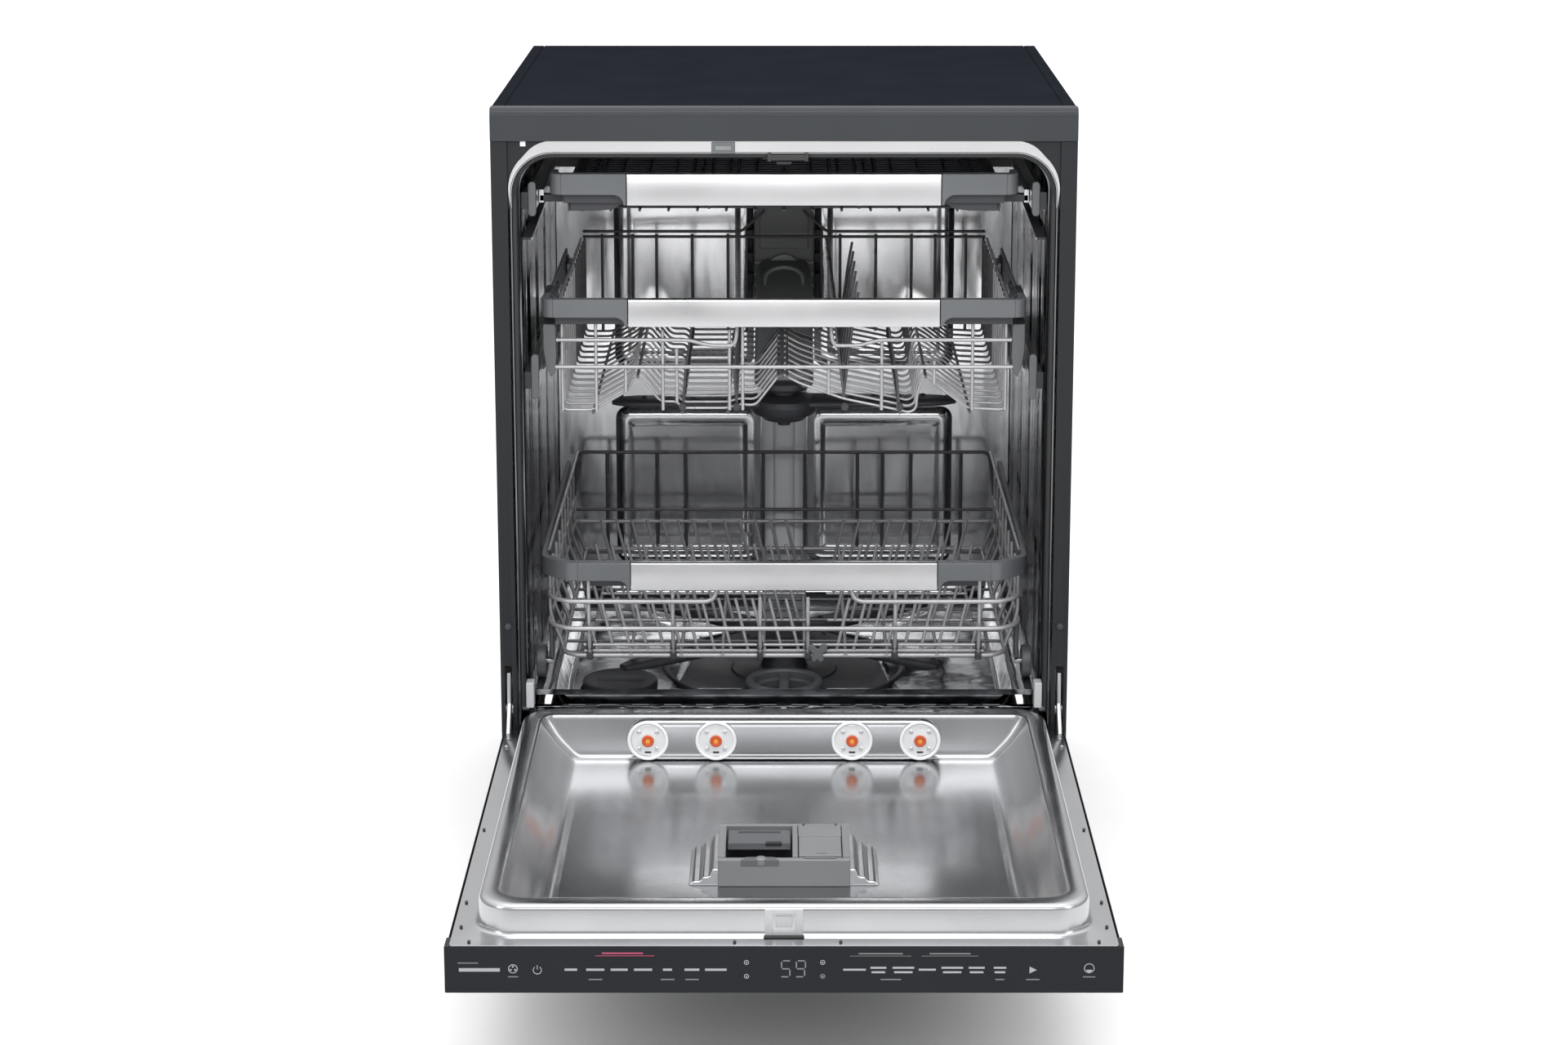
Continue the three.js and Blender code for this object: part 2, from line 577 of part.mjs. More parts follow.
// ---------------------------------------------------------------- racks
// An open basket of wire: floor, four walls, and a taller back wall.
const basket = ({ half, back, floor, wall, rear }, front) => joined([
  grille(-half, half, front, back, 5, 4).translate([0, 0, floor]),
  grilleAcross(-half, half, floor, wall, 4, 2).translate([0, front, 0]),
  grilleAcross(-half, half, floor, rear, 4, 2).translate([0, back - WIRE, 0]),
  grilleAlong(front, back, floor, wall, 4, 2).translate([half - WIRE, 0, 0]),
  grilleAlong(front, back, floor, wall, 4, 2).translate([-half, 0, 0]),
]);

const axleStub = y => joined([
  block(LOWER.half - WIRE, LOWER.half + 3, y - 9, y + 9, WHEEL.z - 7, LOWER.floor + 12),
  crossBar(5, LOWER.half, WHEEL.in - GAP, y, WHEEL.z, 10),
]);

const WHEEL_Y = { front: behind(90), rear: behind(400) };

const lowerBasket = () => {
  const stubs = Object.values(WHEEL_Y).map(axleStub);
  return joined([basket(LOWER, RACK_FRONT + 2), ...stubs, ...stubs.map(mirrored)]);
};

// A rim that runs across the front, round two chamfered corners, and back along both sides.
const lowerRim = () => {
  const { half, low, high, deep, corner } = LOWER_RIM;
  const [front, end] = [RACK_FRONT - 1.5, LOWER.back];
  const inner = half - 11;
  const shape = outline([
    [corner - half, front], [half - corner, front], [half, front + corner], [half, front + corner + 40],
    [half - 5, end], [inner, end], [inner, front + corner + 4], [half - corner - 4, front + deep],
    [corner + 4 - half, front + deep], [-inner, front + corner + 4], [-inner, end], [5 - half, end],
    [-half, front + corner + 40], [-half, front + corner],
  ]);
  return raised(shape, low, high);
};

const TINES = { y: behind(158), pitch: 18, high: 58, thick: 4, lean: 14, z: LOWER.floor + WIRE + 3 };

// A row of tines across the rack, leaning outwards. It folds back about its foot.
const tineRow = (side, first, count) => {
  const { y, pitch, high, thick, lean, z } = TINES;
  const half = thick / 2;
  const bar = block(first - 8, first + (count - 1) * pitch + 8, y - half, y + half, z - half, z + half);
  const tines = Array.from({ length: count }, (_, i) => first + i * pitch).map(x => carried(outline([
    [x - half, z - half], [x + half, z - half], [x + half + side * lean, z + high],
    [x - half + side * lean, z + high],
  ]), y - half, y + half));
  return joined([bar, ...tines]);
};

const wheel = (side, y) => {
  const { radius, in: inside, out } = WHEEL;
  const roller = crossBar(radius, inside, out, y, WHEEL.z, 18);
  return side > 0 ? roller : mirrored(roller);
};

// A C-section rail against the tub wall, open towards the rack.
const rail = z => {
  const { in: inner, out, high, front, long, skin } = RAIL;
  const [z0, z1] = [z - high / 2, z + high / 2];
  return carried(outline([
    [out, z0], [out, z1], [inner, z1], [inner, z1 - skin], [out - skin, z1 - skin],
    [out - skin, z0 + skin], [inner, z0 + skin], [inner, z0],
  ]), front, front + long);
};

const TOP_RAIL_Z = 750;
const UPPER_RAIL_Z = 560;
const GRIP = 163; // half width of each handle's steel band

// A handle bar whose end caps reach down beside the band and sweep back at their ends.
const handle = ({ half, low, high }) => {
  const [front, back] = [RACK_FRONT - 1, RACK_FRONT + HANDLE_DEEP - 1];
  const bar = raised(outline([
    [12 - half, front], [half - 12, front], [half, front + 12], [half, front + 46],
    [half - 9, front + 46], [half - 9, front + 17], [half - 16, back], [16 - half, back],
    [9 - half, front + 17], [9 - half, front + 46], [-half, front + 46], [-half, front + 12],
  ]), low, high);
  const notch = block(GRIP + 60, half + 5, front - 5, back + 60, low - 1, low + 9);
  return bar.subtract(notch).subtract(mirrored(notch));
};

const cutleryTray = () => {
  const { half, back, floor, wall } = TRAY;
  const front = RACK_FRONT + HANDLE_DEEP;
  const side = block(half - 3, half, front, back, floor, wall);
  const ears = [behind(110), behind(400)].map(y =>
    block(half - 2, RAIL.in - 0.5, y - 12, y + 12, TOP_RAIL_Z - 4, TOP_RAIL_Z + 4));
  const divider = x => block(x - 1, x + 1, front + 2, back - 2, floor + 1, floor + 18);
  return joined([
    grille(-half, half, front, back, 6, 4, 3).translate([0, 0, floor]),
    side, mirrored(side), block(-half, half, front, front + 3, floor, wall),
    block(-half, half, back - 3, back, floor, wall),
    divider(-78), divider(78), ...ears, ...ears.map(mirrored),
  ]);
};

const heightAdjuster = () => {
  const plate = across(roundedBox(behind(110), behind(345), 548, UPPER.rear + 2, 10),
    UPPER.half + 2, UPPER.half + 8, 3);
  const rollers = [behind(140), behind(315)].map(y =>
    crossBar(8, UPPER.half + 7, RAIL.in - 0.5, y, UPPER_RAIL_Z, 12));
  return joined([plate, ...rollers]);
};

const feedDuct = () => {
  const [low, high] = [UPPER_ARM.high + 8 + GAP, UPPER.floor - GAP];
  const run = block(-18, 18, UPPER_ARM.y - 20, behind(486), low, high);
  const riser = carried(roundedBox(-34, 34, low, 606, 8), behind(472), behind(486), 3);
  return run.add(riser);
};

const topRack = group([
  mesh('cutlery_tray', cutleryTray(), LOOK.darkPlastic),
  mesh('top_rack_handle', handle(TRAY_HANDLE), LOOK.greyPlastic),
  mesh('top_rail_left', mirrored(rail(TOP_RAIL_Z)), LOOK.stainless),
  mesh('top_rail_right', rail(TOP_RAIL_Z), LOOK.stainless),
]);

const upperRack = group([
  mesh('upper_rack_basket', basket(UPPER, RACK_FRONT + HANDLE_DEEP), LOOK.wire),
  mesh('upper_rack_handle', handle(UPPER_HANDLE), LOOK.greyPlastic),
  mesh('height_adjuster_left', mirrored(heightAdjuster()), LOOK.greyPlastic),
  mesh('height_adjuster_right', heightAdjuster(), LOOK.greyPlastic),
  mesh('upper_feed_duct', feedDuct(), LOOK.darkPlastic),
  mesh('upper_spray_arm', upperArm(), LOOK.darkPlastic),
  mesh('upper_rail_left', mirrored(rail(UPPER_RAIL_Z)), LOOK.stainless),
  mesh('upper_rail_right', rail(UPPER_RAIL_Z), LOOK.stainless),
]);

const lowerRack = group([
  mesh('lower_rack_basket', lowerBasket(), LOOK.wire),
  mesh('lower_rack_rim', lowerRim(), LOOK.greyPlastic),
  mesh('tine_row_left', tineRow(-1, -200, 13), LOOK.wire),
  mesh('tine_row_right', tineRow(1, 56, 9), LOOK.wire),
  mesh('wheel_front_left', wheel(-1, WHEEL_Y.front), LOOK.greyPlastic),
  mesh('wheel_front_right', wheel(1, WHEEL_Y.front), LOOK.greyPlastic),
  mesh('wheel_rear_left', wheel(-1, WHEEL_Y.rear), LOOK.greyPlastic),
  mesh('wheel_rear_right', wheel(1, WHEEL_Y.rear), LOOK.greyPlastic),
]);

const dishwasher = new THREE.Group();
dishwasher.add(cabinet, door, topRack, upperRack, lowerRack);
export default dishwasher;
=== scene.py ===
import math

import bmesh
import bpy
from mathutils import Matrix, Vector


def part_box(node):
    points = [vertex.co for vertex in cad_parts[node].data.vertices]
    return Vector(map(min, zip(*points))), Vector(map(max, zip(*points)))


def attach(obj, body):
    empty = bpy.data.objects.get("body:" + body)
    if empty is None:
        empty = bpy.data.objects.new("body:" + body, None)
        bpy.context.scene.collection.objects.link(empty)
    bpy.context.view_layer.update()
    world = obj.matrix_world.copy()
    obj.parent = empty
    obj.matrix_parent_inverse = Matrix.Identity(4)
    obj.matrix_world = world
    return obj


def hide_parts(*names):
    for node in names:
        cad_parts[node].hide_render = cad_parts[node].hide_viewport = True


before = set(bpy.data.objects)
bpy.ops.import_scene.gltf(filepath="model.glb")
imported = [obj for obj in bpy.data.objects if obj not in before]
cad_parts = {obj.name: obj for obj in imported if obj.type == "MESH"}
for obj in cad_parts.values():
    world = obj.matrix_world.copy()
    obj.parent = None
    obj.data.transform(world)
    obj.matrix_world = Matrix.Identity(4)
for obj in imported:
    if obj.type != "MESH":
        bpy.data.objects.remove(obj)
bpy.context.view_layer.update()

MM = 0.001
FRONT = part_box("worktop_front_trim")[0].y  # the cabinet's front plane
SIDES = (("left", -1), ("right", 1))


# ---------------------------------------------------------------- places
def at(x, v, z):
    """A point from millimetres: across, behind the cabinet's front, and above the floor."""
    return Vector((x * MM, FRONT + v * MM, z * MM))


def span(node):
    """A CAD node's box in the same millimetres."""
    return [Vector((p.x / MM, (p.y - FRONT) / MM, p.z / MM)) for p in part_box(node)]


def middle_of(node):
    return [(low + high) / 2 for low, high in zip(*span(node))]


def across(sign, x0, x1):
    """A range across, on one side of the middle."""
    return sorted((sign * x0, sign * x1))


def side_box(sign, x0, v0, z0, x1, v1, z1):
    """A box on one side of the middle, from distances across."""
    low, high = across(sign, x0, x1)
    return (low, v0, z0), (high, v1, z1)


def material(name, color, rough, metal=0.0, grain=None, wave=None, vary=0.05, tint=0.05,
        gloss=0.5, transmission=0.0):
    """
    A principled material. grain and wave are (scale per axis, bump strength, bump distance). vary and tint
    are how far roughness and colour wander.
    """
    mat = bpy.data.materials.new(name)
    mat.use_nodes = True
    nodes, links = mat.node_tree.nodes, mat.node_tree.links
    shader = nodes["Principled BSDF"]
    shader.inputs["Base Color"].default_value = (*color, 1)
    shader.inputs["Roughness"].default_value = rough
    shader.inputs["Metallic"].default_value = metal
    shader.inputs["Specular IOR Level"].default_value = gloss
    shader.inputs["Transmission Weight"].default_value = transmission
    place = nodes.new("ShaderNodeTexCoord")

    def noise(scale, detail=3.0):
        mapping = nodes.new("ShaderNodeMapping")
        mapping.inputs["Scale"].default_value = scale
        texture = nodes.new("ShaderNodeTexNoise")
        texture.inputs["Scale"].default_value = 1.0
        texture.inputs["Detail"].default_value = detail
        links.new(place.outputs["Object"], mapping.inputs["Vector"])
        links.new(mapping.outputs["Vector"], texture.inputs["Vector"])
        return texture.outputs["Fac"]

    normal = None
    for scale, strength, distance in filter(None, (wave, grain)):
        bump = nodes.new("ShaderNodeBump")
        bump.inputs["Strength"].default_value = strength
        bump.inputs["Distance"].default_value = distance
        links.new(noise(scale), bump.inputs["Height"])
        if normal:
            links.new(normal, bump.inputs["Normal"])
        normal = bump.outputs["Normal"]
    if normal:
        links.new(normal, shader.inputs["Normal"])
    if vary:
        spread = nodes.new("ShaderNodeMapRange")
        spread.inputs["From Min"].default_value = 0.3
        spread.inputs["From Max"].default_value = 0.7
        spread.inputs["To Min"].default_value = max(rough - vary, 0.02)
        spread.inputs["To Max"].default_value = rough + vary
        links.new(noise((9, 9, 9)), spread.inputs["Value"])
        links.new(spread.outputs["Result"], shader.inputs["Roughness"])
    if tint:
        ramp = nodes.new("ShaderNodeValToRGB")
        for element, factor, position in zip(ramp.color_ramp.elements, (1 - tint, 1 + tint), (0.3, 0.7)):
            element.position = position
            element.color = (*(min(c * factor, 1) for c in color), 1)
        links.new(noise((14, 14, 14), 6.0), ramp.inputs["Fac"])
        links.new(ramp.outputs["Color"], shader.inputs["Base Color"])
    return mat


FINE = (900, 900, 900)
CHARCOAL = material("charcoal_paint", (0.012, 0.0135, 0.016), 0.45, grain=(FINE, 0.10, 0.0004), vary=0.04,
    tint=0.03, gloss=0.25)
LAMINATE = material("worktop_laminate", (0.014, 0.0155, 0.0205), 0.5, grain=(FINE, 0.16, 0.0005), tint=0.08,
    gloss=0.0)
TRIM = material("trim_plastic", (0.026, 0.029, 0.033), 0.42, grain=(FINE, 0.12, 0.0004), vary=0.04,
    gloss=0.3)
# Tub walls and sill: the stainless steel darkened as painted shade for the deep cavity.
TUB_STEEL_PAINTED_SHADE = material("tub_steel_painted_shade", (0.18, 0.184, 0.192), 0.12, 1.0,
    grain=((700, 700, 30), 0.03, 0.0003), wave=((16, 40, 2.0), 0.5, 0.012), tint=0.04)
# Back wall: the same stainless steel lightened as painted light, a bright glow on the wall.
BACK_STEEL_PAINTED_LIGHT = material("back_wall_steel_painted_light", (0.85, 0.855, 0.87), 0.2, 1.0,
    grain=((700, 700, 30), 0.03, 0.0003), wave=((15, 3, 5), 0.22, 0.01), tint=0.03)
# Floor pan: the stainless steel darkened as painted shade, dimming its bright reflections.
FLOOR_STEEL_PAINTED_SHADE = material("tub_floor_steel_painted_shade", (0.4, 0.405, 0.415), 0.13, 1.0,
    grain=((700, 700, 30), 0.03, 0.0003), wave=((9, 9, 9), 0.25, 0.01), tint=0.03)
# Door liner: the stainless steel darkened a little as painted shade, so its reflection of the cavity reads
# darker.
LINER_STEEL_PAINTED_SHADE = material("liner_steel_painted_shade", (0.46, 0.465, 0.475), 0.2, 1.0,
    grain=((8, 900, 900), 0.05, 0.0003), tint=0.03)
BAND_STEEL = material("band_steel", (0.6, 0.6, 0.61), 0.3, 1.0,
    grain=((10, 1500, 1500), 0.12, 0.0003), vary=0.04, tint=0.03)
RAIL_STEEL = material("rail_steel", (0.58, 0.59, 0.6), 0.22, 1.0,
    grain=((900, 20, 900), 0.08, 0.0003), vary=0.06)
ZINC = material("zinc_steel", (0.42, 0.43, 0.44), 0.38, 1.0, grain=((300, 300, 300), 0.12, 0.0004),
    vary=0.06, tint=0.04)
GLOSS = material("gloss_black", (0.012, 0.013, 0.016), 0.2, wave=((6, 6, 6), 0.05, 0.002), vary=0.03,
    gloss=0.12)
RUBBER = material("seal_rubber", (0.012, 0.013, 0.014), 0.6, grain=((500, 500, 500), 0.25, 0.0005),
    vary=0.08, tint=0.12)
FOOT_BLACK = material("foot_plastic", (0.018, 0.018, 0.019), 0.5, grain=(FINE, 0.2, 0.0005), tint=0.08)
DARK = material("dark_plastic", (0.034, 0.035, 0.041), 0.42, grain=(FINE, 0.2, 0.0005), vary=0.06, tint=0.07,
    gloss=0.4)
GREY = material("grey_plastic", (0.092, 0.098, 0.104), 0.4, grain=(FINE, 0.16, 0.0005))
MID_GREY = material("dispenser_plastic", (0.17, 0.175, 0.18), 0.38,
    grain=(FINE, 0.16, 0.0005))
PALE = material("pale_plastic", (0.42, 0.43, 0.44), 0.4, grain=(FINE, 0.14, 0.0005), tint=0.04)
WIRE = material("rack_wire", (0.36, 0.36, 0.37), 0.28, 0.4, grain=((700, 700, 700), 0.12, 0.0004), vary=0.06,
    tint=0.08)
# The same rack wire made darker: painted shade for the wires that lie deep in the racks.
WIRE_PAINTED_SHADE = material("rack_wire_painted_shade", (0.1, 0.1, 0.105), 0.3, 0.4,
    grain=((700, 700, 700), 0.12, 0.0004), vary=0.06, tint=0.08)
CHROME = material("chrome", (0.78, 0.78, 0.79), 0.08, 1.0,
    grain=((400, 400, 400), 0.02, 0.0003), vary=0.03, tint=0.03)
CLEAR = material("clear_plastic", (0.92, 0.93, 0.94), 0.08,
    grain=((300, 300, 300), 0.04, 0.0003), vary=0.03, tint=0.02, transmission=0.35)
WHITE = material("white_plastic", (0.74, 0.75, 0.76), 0.35, grain=(FINE, 0.1, 0.0004),
    vary=0.04, tint=0.03)
ORANGE = material("orange_seal", (0.5, 0.075, 0.02), 0.45,
    grain=((500, 500, 500), 0.15, 0.0004), vary=0.06, tint=0.06)
AMBER = material("amber_core", (0.75, 0.3, 0.03), 0.4,
    grain=((500, 500, 500), 0.15, 0.0004), vary=0.06, tint=0.06)
PRINT = material("printed_legend", (0.3, 0.31, 0.32), 0.45, grain=(FINE, 0.05, 0.0002),
    vary=0.03, tint=0.04)
PRINT_DIM = material("printed_dim", (0.16, 0.165, 0.17), 0.45,
    grain=(FINE, 0.05, 0.0002), vary=0.03, tint=0.04)
PINK = material("printed_pink", (0.42, 0.05, 0.12), 0.45, grain=(FINE, 0.05, 0.0002),
    vary=0.03, tint=0.04)


# ---------------------------------------------------------------- mesh makers
def place(obj, body, mat, replaces=()):
    obj.data.materials.clear()
    obj.data.materials.append(mat)
    if obj.name not in bpy.context.scene.collection.objects:
        bpy.context.scene.collection.objects.link(obj)
    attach(obj, body)
    if replaces:
        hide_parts(*([replaces] if isinstance(replaces, str) else replaces))
    return obj


def soft_edges(obj, bevel, segments=2, angle=35):
    obj.data.shade_smooth()
    obj.data.set_sharp_from_angle(angle=math.radians(angle))
    if bevel:
        rounded = obj.modifiers.new("rounded_edges", "BEVEL")
        rounded.width = bevel * MM
        rounded.segments = segments
        rounded.limit_method = "ANGLE"
        rounded.angle_limit = math.radians(30)
        rounded.harden_normals = True
        rounded.miter_outer = "MITER_ARC"
    return obj


def solid(name, verts, faces, body, mat, bevel=0.0, replaces=(), segments=2, angle=35):
    mesh = bpy.data.meshes.new(name)
    mesh.from_pydata([tuple(v) for v in verts], [], faces)
    shape = bmesh.new()
    shape.from_mesh(mesh)
    bmesh.ops.remove_doubles(shape, verts=shape.verts, dist=1e-6)
    bmesh.ops.recalc_face_normals(shape, faces=shape.faces)
    shape.to_mesh(mesh)
    shape.free()
    obj = bpy.data.objects.new(name, mesh)
    place(obj, body, mat, replaces)
    return soft_edges(obj, bevel, segments, angle)


def slab(name, lo, hi, body, mat, bevel=1.0, replaces=(), segments=2):
    (x0, v0, z0), (x1, v1, z1) = lo, hi
    verts = [at(x, v, z) for z in (z0, z1) for v in (v0, v1) for x in (x0, x1)]
    faces = [(0, 1, 3, 2), (4, 6, 7, 5), (0, 4, 5, 1), (2, 3, 7, 6), (0, 2, 6, 4), (1, 5, 7, 3)]
    return solid(name, verts, faces, body, mat, bevel, replaces, segments)


def prism(name, points, axis, low, high, body, mat, bevel=0.8, replaces=(), segments=2):
    """An outline carried along x, v or z. Its points are the other two, in that order."""
    def corner(a, b, along):
        return {"x": at(along, a, b), "v": at(a, along, b), "z": at(a, b, along)}[axis]
    count = len(points)
    verts = [corner(a, b, along) for along in (low, high) for a, b in points]
    faces = [tuple(range(count)), tuple(range(2 * count - 1, count - 1, -1))]
    faces += [(i, (i + 1) % count, (i + 1) % count + count, i + count) for i in range(count)]
    return solid(name, verts, faces, body, mat, bevel, replaces, segments)


def loft(name, loops, body, mat, bevel=0.0, replaces=(), caps=(True, True), around=False, angle=35):
    """Skin over closed loops of equal length. around joins the last loop to the first."""
    count = len(loops[0])
    verts = [p for loop in loops for p in loop]
    faces = []
    steps = len(loops) if around else len(loops) - 1
    for j in range(steps):
        a, b = j * count, (j + 1) % len(loops) * count
        for i in range(count):
            k = (i + 1) % count
            faces.append((a + i, a + k, b + k, b + i))
    if not around:
        if caps[0]:
            faces.append(tuple(range(count - 1, -1, -1)))
        if caps[1]:
            faces.append(tuple(range(len(verts) - count, len(verts))))
    return solid(name, verts, faces, body, mat, bevel, replaces, angle=angle)


def turned(name, profile, centre, body, mat, axis="z", replaces=(), sides=48):
    """A closed profile of (radius, along) turned about an axis through centre, in mm."""
    cx, cv, cz = centre
    loops = []
    for c, s in on_circle(sides):
        if axis == "z":
            loops.append([at(cx + r * c, cv + r * s, h) for r, h in profile])
        elif axis == "v":
            loops.append([at(cx + r * c, h, cz + r * s) for r, h in profile])
        else:
            loops.append([at(h, cv + r * c, cz + r * s) for r, h in profile])
    return loft(name, loops, body, mat, 0, replaces, around=True, angle=30)


def disc(name, radius, low, high, centre, body, mat, axis="z", replaces=(), edge=0.6, sides=40):
    profile = [(0, low), (radius - edge, low), (radius, low + edge), (radius, high - edge),
        (radius - edge, high), (0, high)]
    return turned(name, profile, centre, body, mat, axis, replaces, sides)


def on_circle(count, radius=1.0, start=0):
    """Points spaced evenly around a circle, from an angle in degrees."""
    turns = [math.radians(start) + 2 * math.pi * i / count for i in range(count)]
    return [(radius * math.cos(t), radius * math.sin(t)) for t in turns]


def arc(cx, cy, radius, start, end, steps):
    """Points on an arc, with its angles in degrees."""
    turns = [math.radians(start + (end - start) * i / steps) for i in range(steps + 1)]
    return [(cx + radius * math.cos(t), cy + radius * math.sin(t)) for t in turns]


def rounded_rect(a0, a1, b0, b1, near, far=None, steps=8):
    """Anticlockwise outline. near is the radius at b1's corners, far the radius at b0's."""
    far = near if far is None else far
    return (arc(a0 + far, b0 + far, far, 180, 270, steps) + arc(a1 - far, b0 + far, far, 270, 360,
            steps) + arc(a1 - near, b1 - near, near, 0, 90, steps) + arc(a0 + near, b1 - near, near, 90, 180,
            steps))


def stepped(x0, x1, z0, z1, stages, radius, steps=5):
    """Loops of a rounded rectangle seen from the front, at each (inset, behind)."""
    return [[at(x, v, z) for x, z in rounded_rect(x0 + g, x1 - g, z0 + g, z1 - g, radius(g), steps=steps)]
            for g, v in stages]


def fillet(points, radius):
    """A line through points with its corners rounded."""
    steps = 5
    path = [Vector(points[0])]
    for before, here, after in zip(points, points[1:], points[2:]):
        before, here, after = Vector(before), Vector(here), Vector(after)
        a, b = (before - here), (after - here)
        cut = min(radius, a.length * 0.48, b.length * 0.48)
        start, end = here + a.normalized() * cut, here + b.normalized() * cut
        for i in range(steps + 1):
            t = i / steps
            path.append(start * (1 - t) ** 2 + here * 2 * t * (1 - t) + end * t ** 2)
    path.append(Vector(points[-1]))
    return path


def wires(name, paths, diameter, body, mat, bend=8, replaces=(), closed=False):
    """Round wires along lines of (across, behind, height) in mm, all in one piece."""
    curve = bpy.data.curves.new(name, "CURVE")
    curve.dimensions = "3D"
    curve.bevel_depth = diameter / 2 * MM
    curve.bevel_resolution = 2
    curve.use_fill_caps = True
    for path in paths:
        line = [at(*p) for p in (fillet(path, bend) if bend else path)]
        spline = curve.splines.new("POLY")
        spline.points.add(len(line) - 1)
        for point, here in zip(spline.points, line):
            point.co = (*here, 1)
        spline.use_cyclic_u = closed
        spline.use_smooth = True
    return place(bpy.data.objects.new(name, curve), body, mat, replaces)


def softened(node, body, mat, bevel):
    """A copy of a CAD node with rounded edges, which stands for it."""
    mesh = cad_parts[node].data.copy()
    shape = bmesh.new()
    shape.from_mesh(mesh)
    bmesh.ops.remove_doubles(shape, verts=shape.verts, dist=1e-6)
    bmesh.ops.dissolve_limit(shape, angle_limit=math.radians(1), verts=shape.verts, edges=shape.edges)
    shape.to_mesh(mesh)
    shape.free()
    obj = bpy.data.objects.new(node + "_shape", mesh)
    place(obj, body, mat, node)
    return soft_edges(obj, bevel)


def screw(name, centre, body, axis, radius=3.4, mat=ZINC, out=-1):
    """A domed screw head with a cross recess, facing out along its axis."""
    x, v, z = centre
    base = {"x": x, "v": v, "z": z}[axis]
    profile = [(0, base), (radius, base), (radius * 0.9, base + out * 0.9),
        (radius * 0.55, base + out * 1.5), (radius * 0.2, base + out * 1.7), (0, base + out * 1.1)]
    return turned(name, profile, centre, body, mat, axis, sides=16)


# ---------------------------------------------------------------- camera, light and floor
def stage():
    camera = bpy.data.objects.new("camera", bpy.data.cameras.new("camera"))
    lens, shift, down, distance, height = 72.22, -0.09167, 12.422, 3182.5, 1269.2
    camera.data.lens = lens
    camera.data.shift_y = shift
    camera.location = at(0, -distance, height)
    camera.rotation_euler = (math.radians(90 - down), 0, 0)
    bpy.context.scene.collection.objects.link(camera)
    bpy.context.scene.camera = camera

    def softbox(name, place_m, aim, size, power):
        light = bpy.data.lights.new(name, "AREA")
        light.shape = "RECTANGLE"
        light.size, light.size_y = size
        light.energy = power
        obj = bpy.data.objects.new(name, light)
        obj.location = place_m
        obj.rotation_euler = (Vector(aim) - Vector(place_m)).to_track_quat("-Z", "Y").to_euler()
        bpy.context.scene.collection.objects.link(obj)

    softbox("overhead_softbox", (0, -0.7, 3.0), (0, -0.2, 0.4), (2.8, 1.8), 16)
    softbox("left_softbox", (-2.6, -2.3, 1.7), (0, 0, 0.5), (0.9, 2.0), 12)
    softbox("right_softbox", (2.6, -2.3, 1.7), (0, 0, 0.5), (0.9, 2.0), 12)
    softbox("cavity_softbox", (0, -0.85, 1.2), (0, 0.5, 0.42), (1.2, 0.3), 6)
    softbox("front_softbox", (0, -4.4, 2.5), (0, 0.2, 0.5), (2.2, 0.9), 14)

    world = bpy.data.worlds.new("pale_studio")
    world.use_nodes = True
    sky = world.node_tree.nodes["Background"]
    sky.inputs["Color"].default_value = (1, 1, 1, 1)
    nodes, links = world.node_tree.nodes, world.node_tree.links
    way = nodes.new("ShaderNodeTexCoord")
    split = nodes.new("ShaderNodeSeparateXYZ")
    dim = nodes.new("ShaderNodeMapRange")  # bright overhead and dim around the walls
    for socket, value in (("From Min", 0.0), ("From Max", 1.0), ("To Min", 0.3), ("To Max", 1.9)):
        dim.inputs[socket].default_value = value
    links.new(way.outputs["Generated"], split.inputs["Vector"])
    links.new(split.outputs["Z"], dim.inputs["Value"])
    links.new(dim.outputs["Result"], sky.inputs["Strength"])
    bpy.context.scene.world = world
    bpy.context.scene.view_settings.view_transform = "Standard"

    half = 12  # metres
    mesh = bpy.data.meshes.new("floor")
    mesh.from_pydata([(-half, -half, 0), (half, -half, 0), (half, half, 0), (-half, half, 0)], [],
        [(0, 1, 2, 3)])
    floor = bpy.data.objects.new("floor", mesh)
    floor.data.materials.append(material("floor", (0.94, 0.94, 0.94), 0.7,
        grain=((60, 60, 60), 0.02, 0.001), tint=0.01))
    bpy.context.scene.collection.objects.link(floor)


stage()


# ---------------------------------------------------------------- cabinet
CAB = "cabinet"


def worktop():
    lo, hi = span("worktop")
    border, joint = 13, 0.5
    slab("worktop_board", (lo.x + border + joint, lo.y, lo.z), (hi.x - border - joint, hi.y - 4, hi.z), CAB,
        LAMINATE, 0.7, "worktop")
    for side, (x0, x1) in {"left": (lo.x, lo.x + border), "right": (hi.x - border, hi.x)}.items():
        slab(f"worktop_edge_{side}", (x0, lo.y, lo.z), (x1, hi.y, hi.z), CAB, LAMINATE, 1.2)
    slab("worktop_rear_edge", (lo.x + border + joint, hi.y - 3.5, lo.z), (hi.x - border - joint, hi.y, hi.z),
        CAB, LAMINATE, 0.7)
    lo, hi = span("worktop_front_trim")
    step = 7
    profile = [(lo.y, lo.z), (hi.y, lo.z), (hi.y, hi.z), *arc(lo.y + 6.5, hi.z - 5, 5, 90, 180, 5),
        (lo.y + 1.5, hi.z - step + 0.6), (lo.y, hi.z - step - 0.6)]
    prism("worktop_trim", profile, "x", lo.x, hi.x, CAB, TRIM, 0.5, "worktop_front_trim")
    # A thin dark strip at the trim's step is painted shade under the step.
    slab("trim_step_painted_shade", (lo.x + 1, lo.y - 0.1, hi.z - 8.2), (hi.x - 1, lo.y + 1, hi.z - 6.9), CAB, RUBBER,
        0.2)


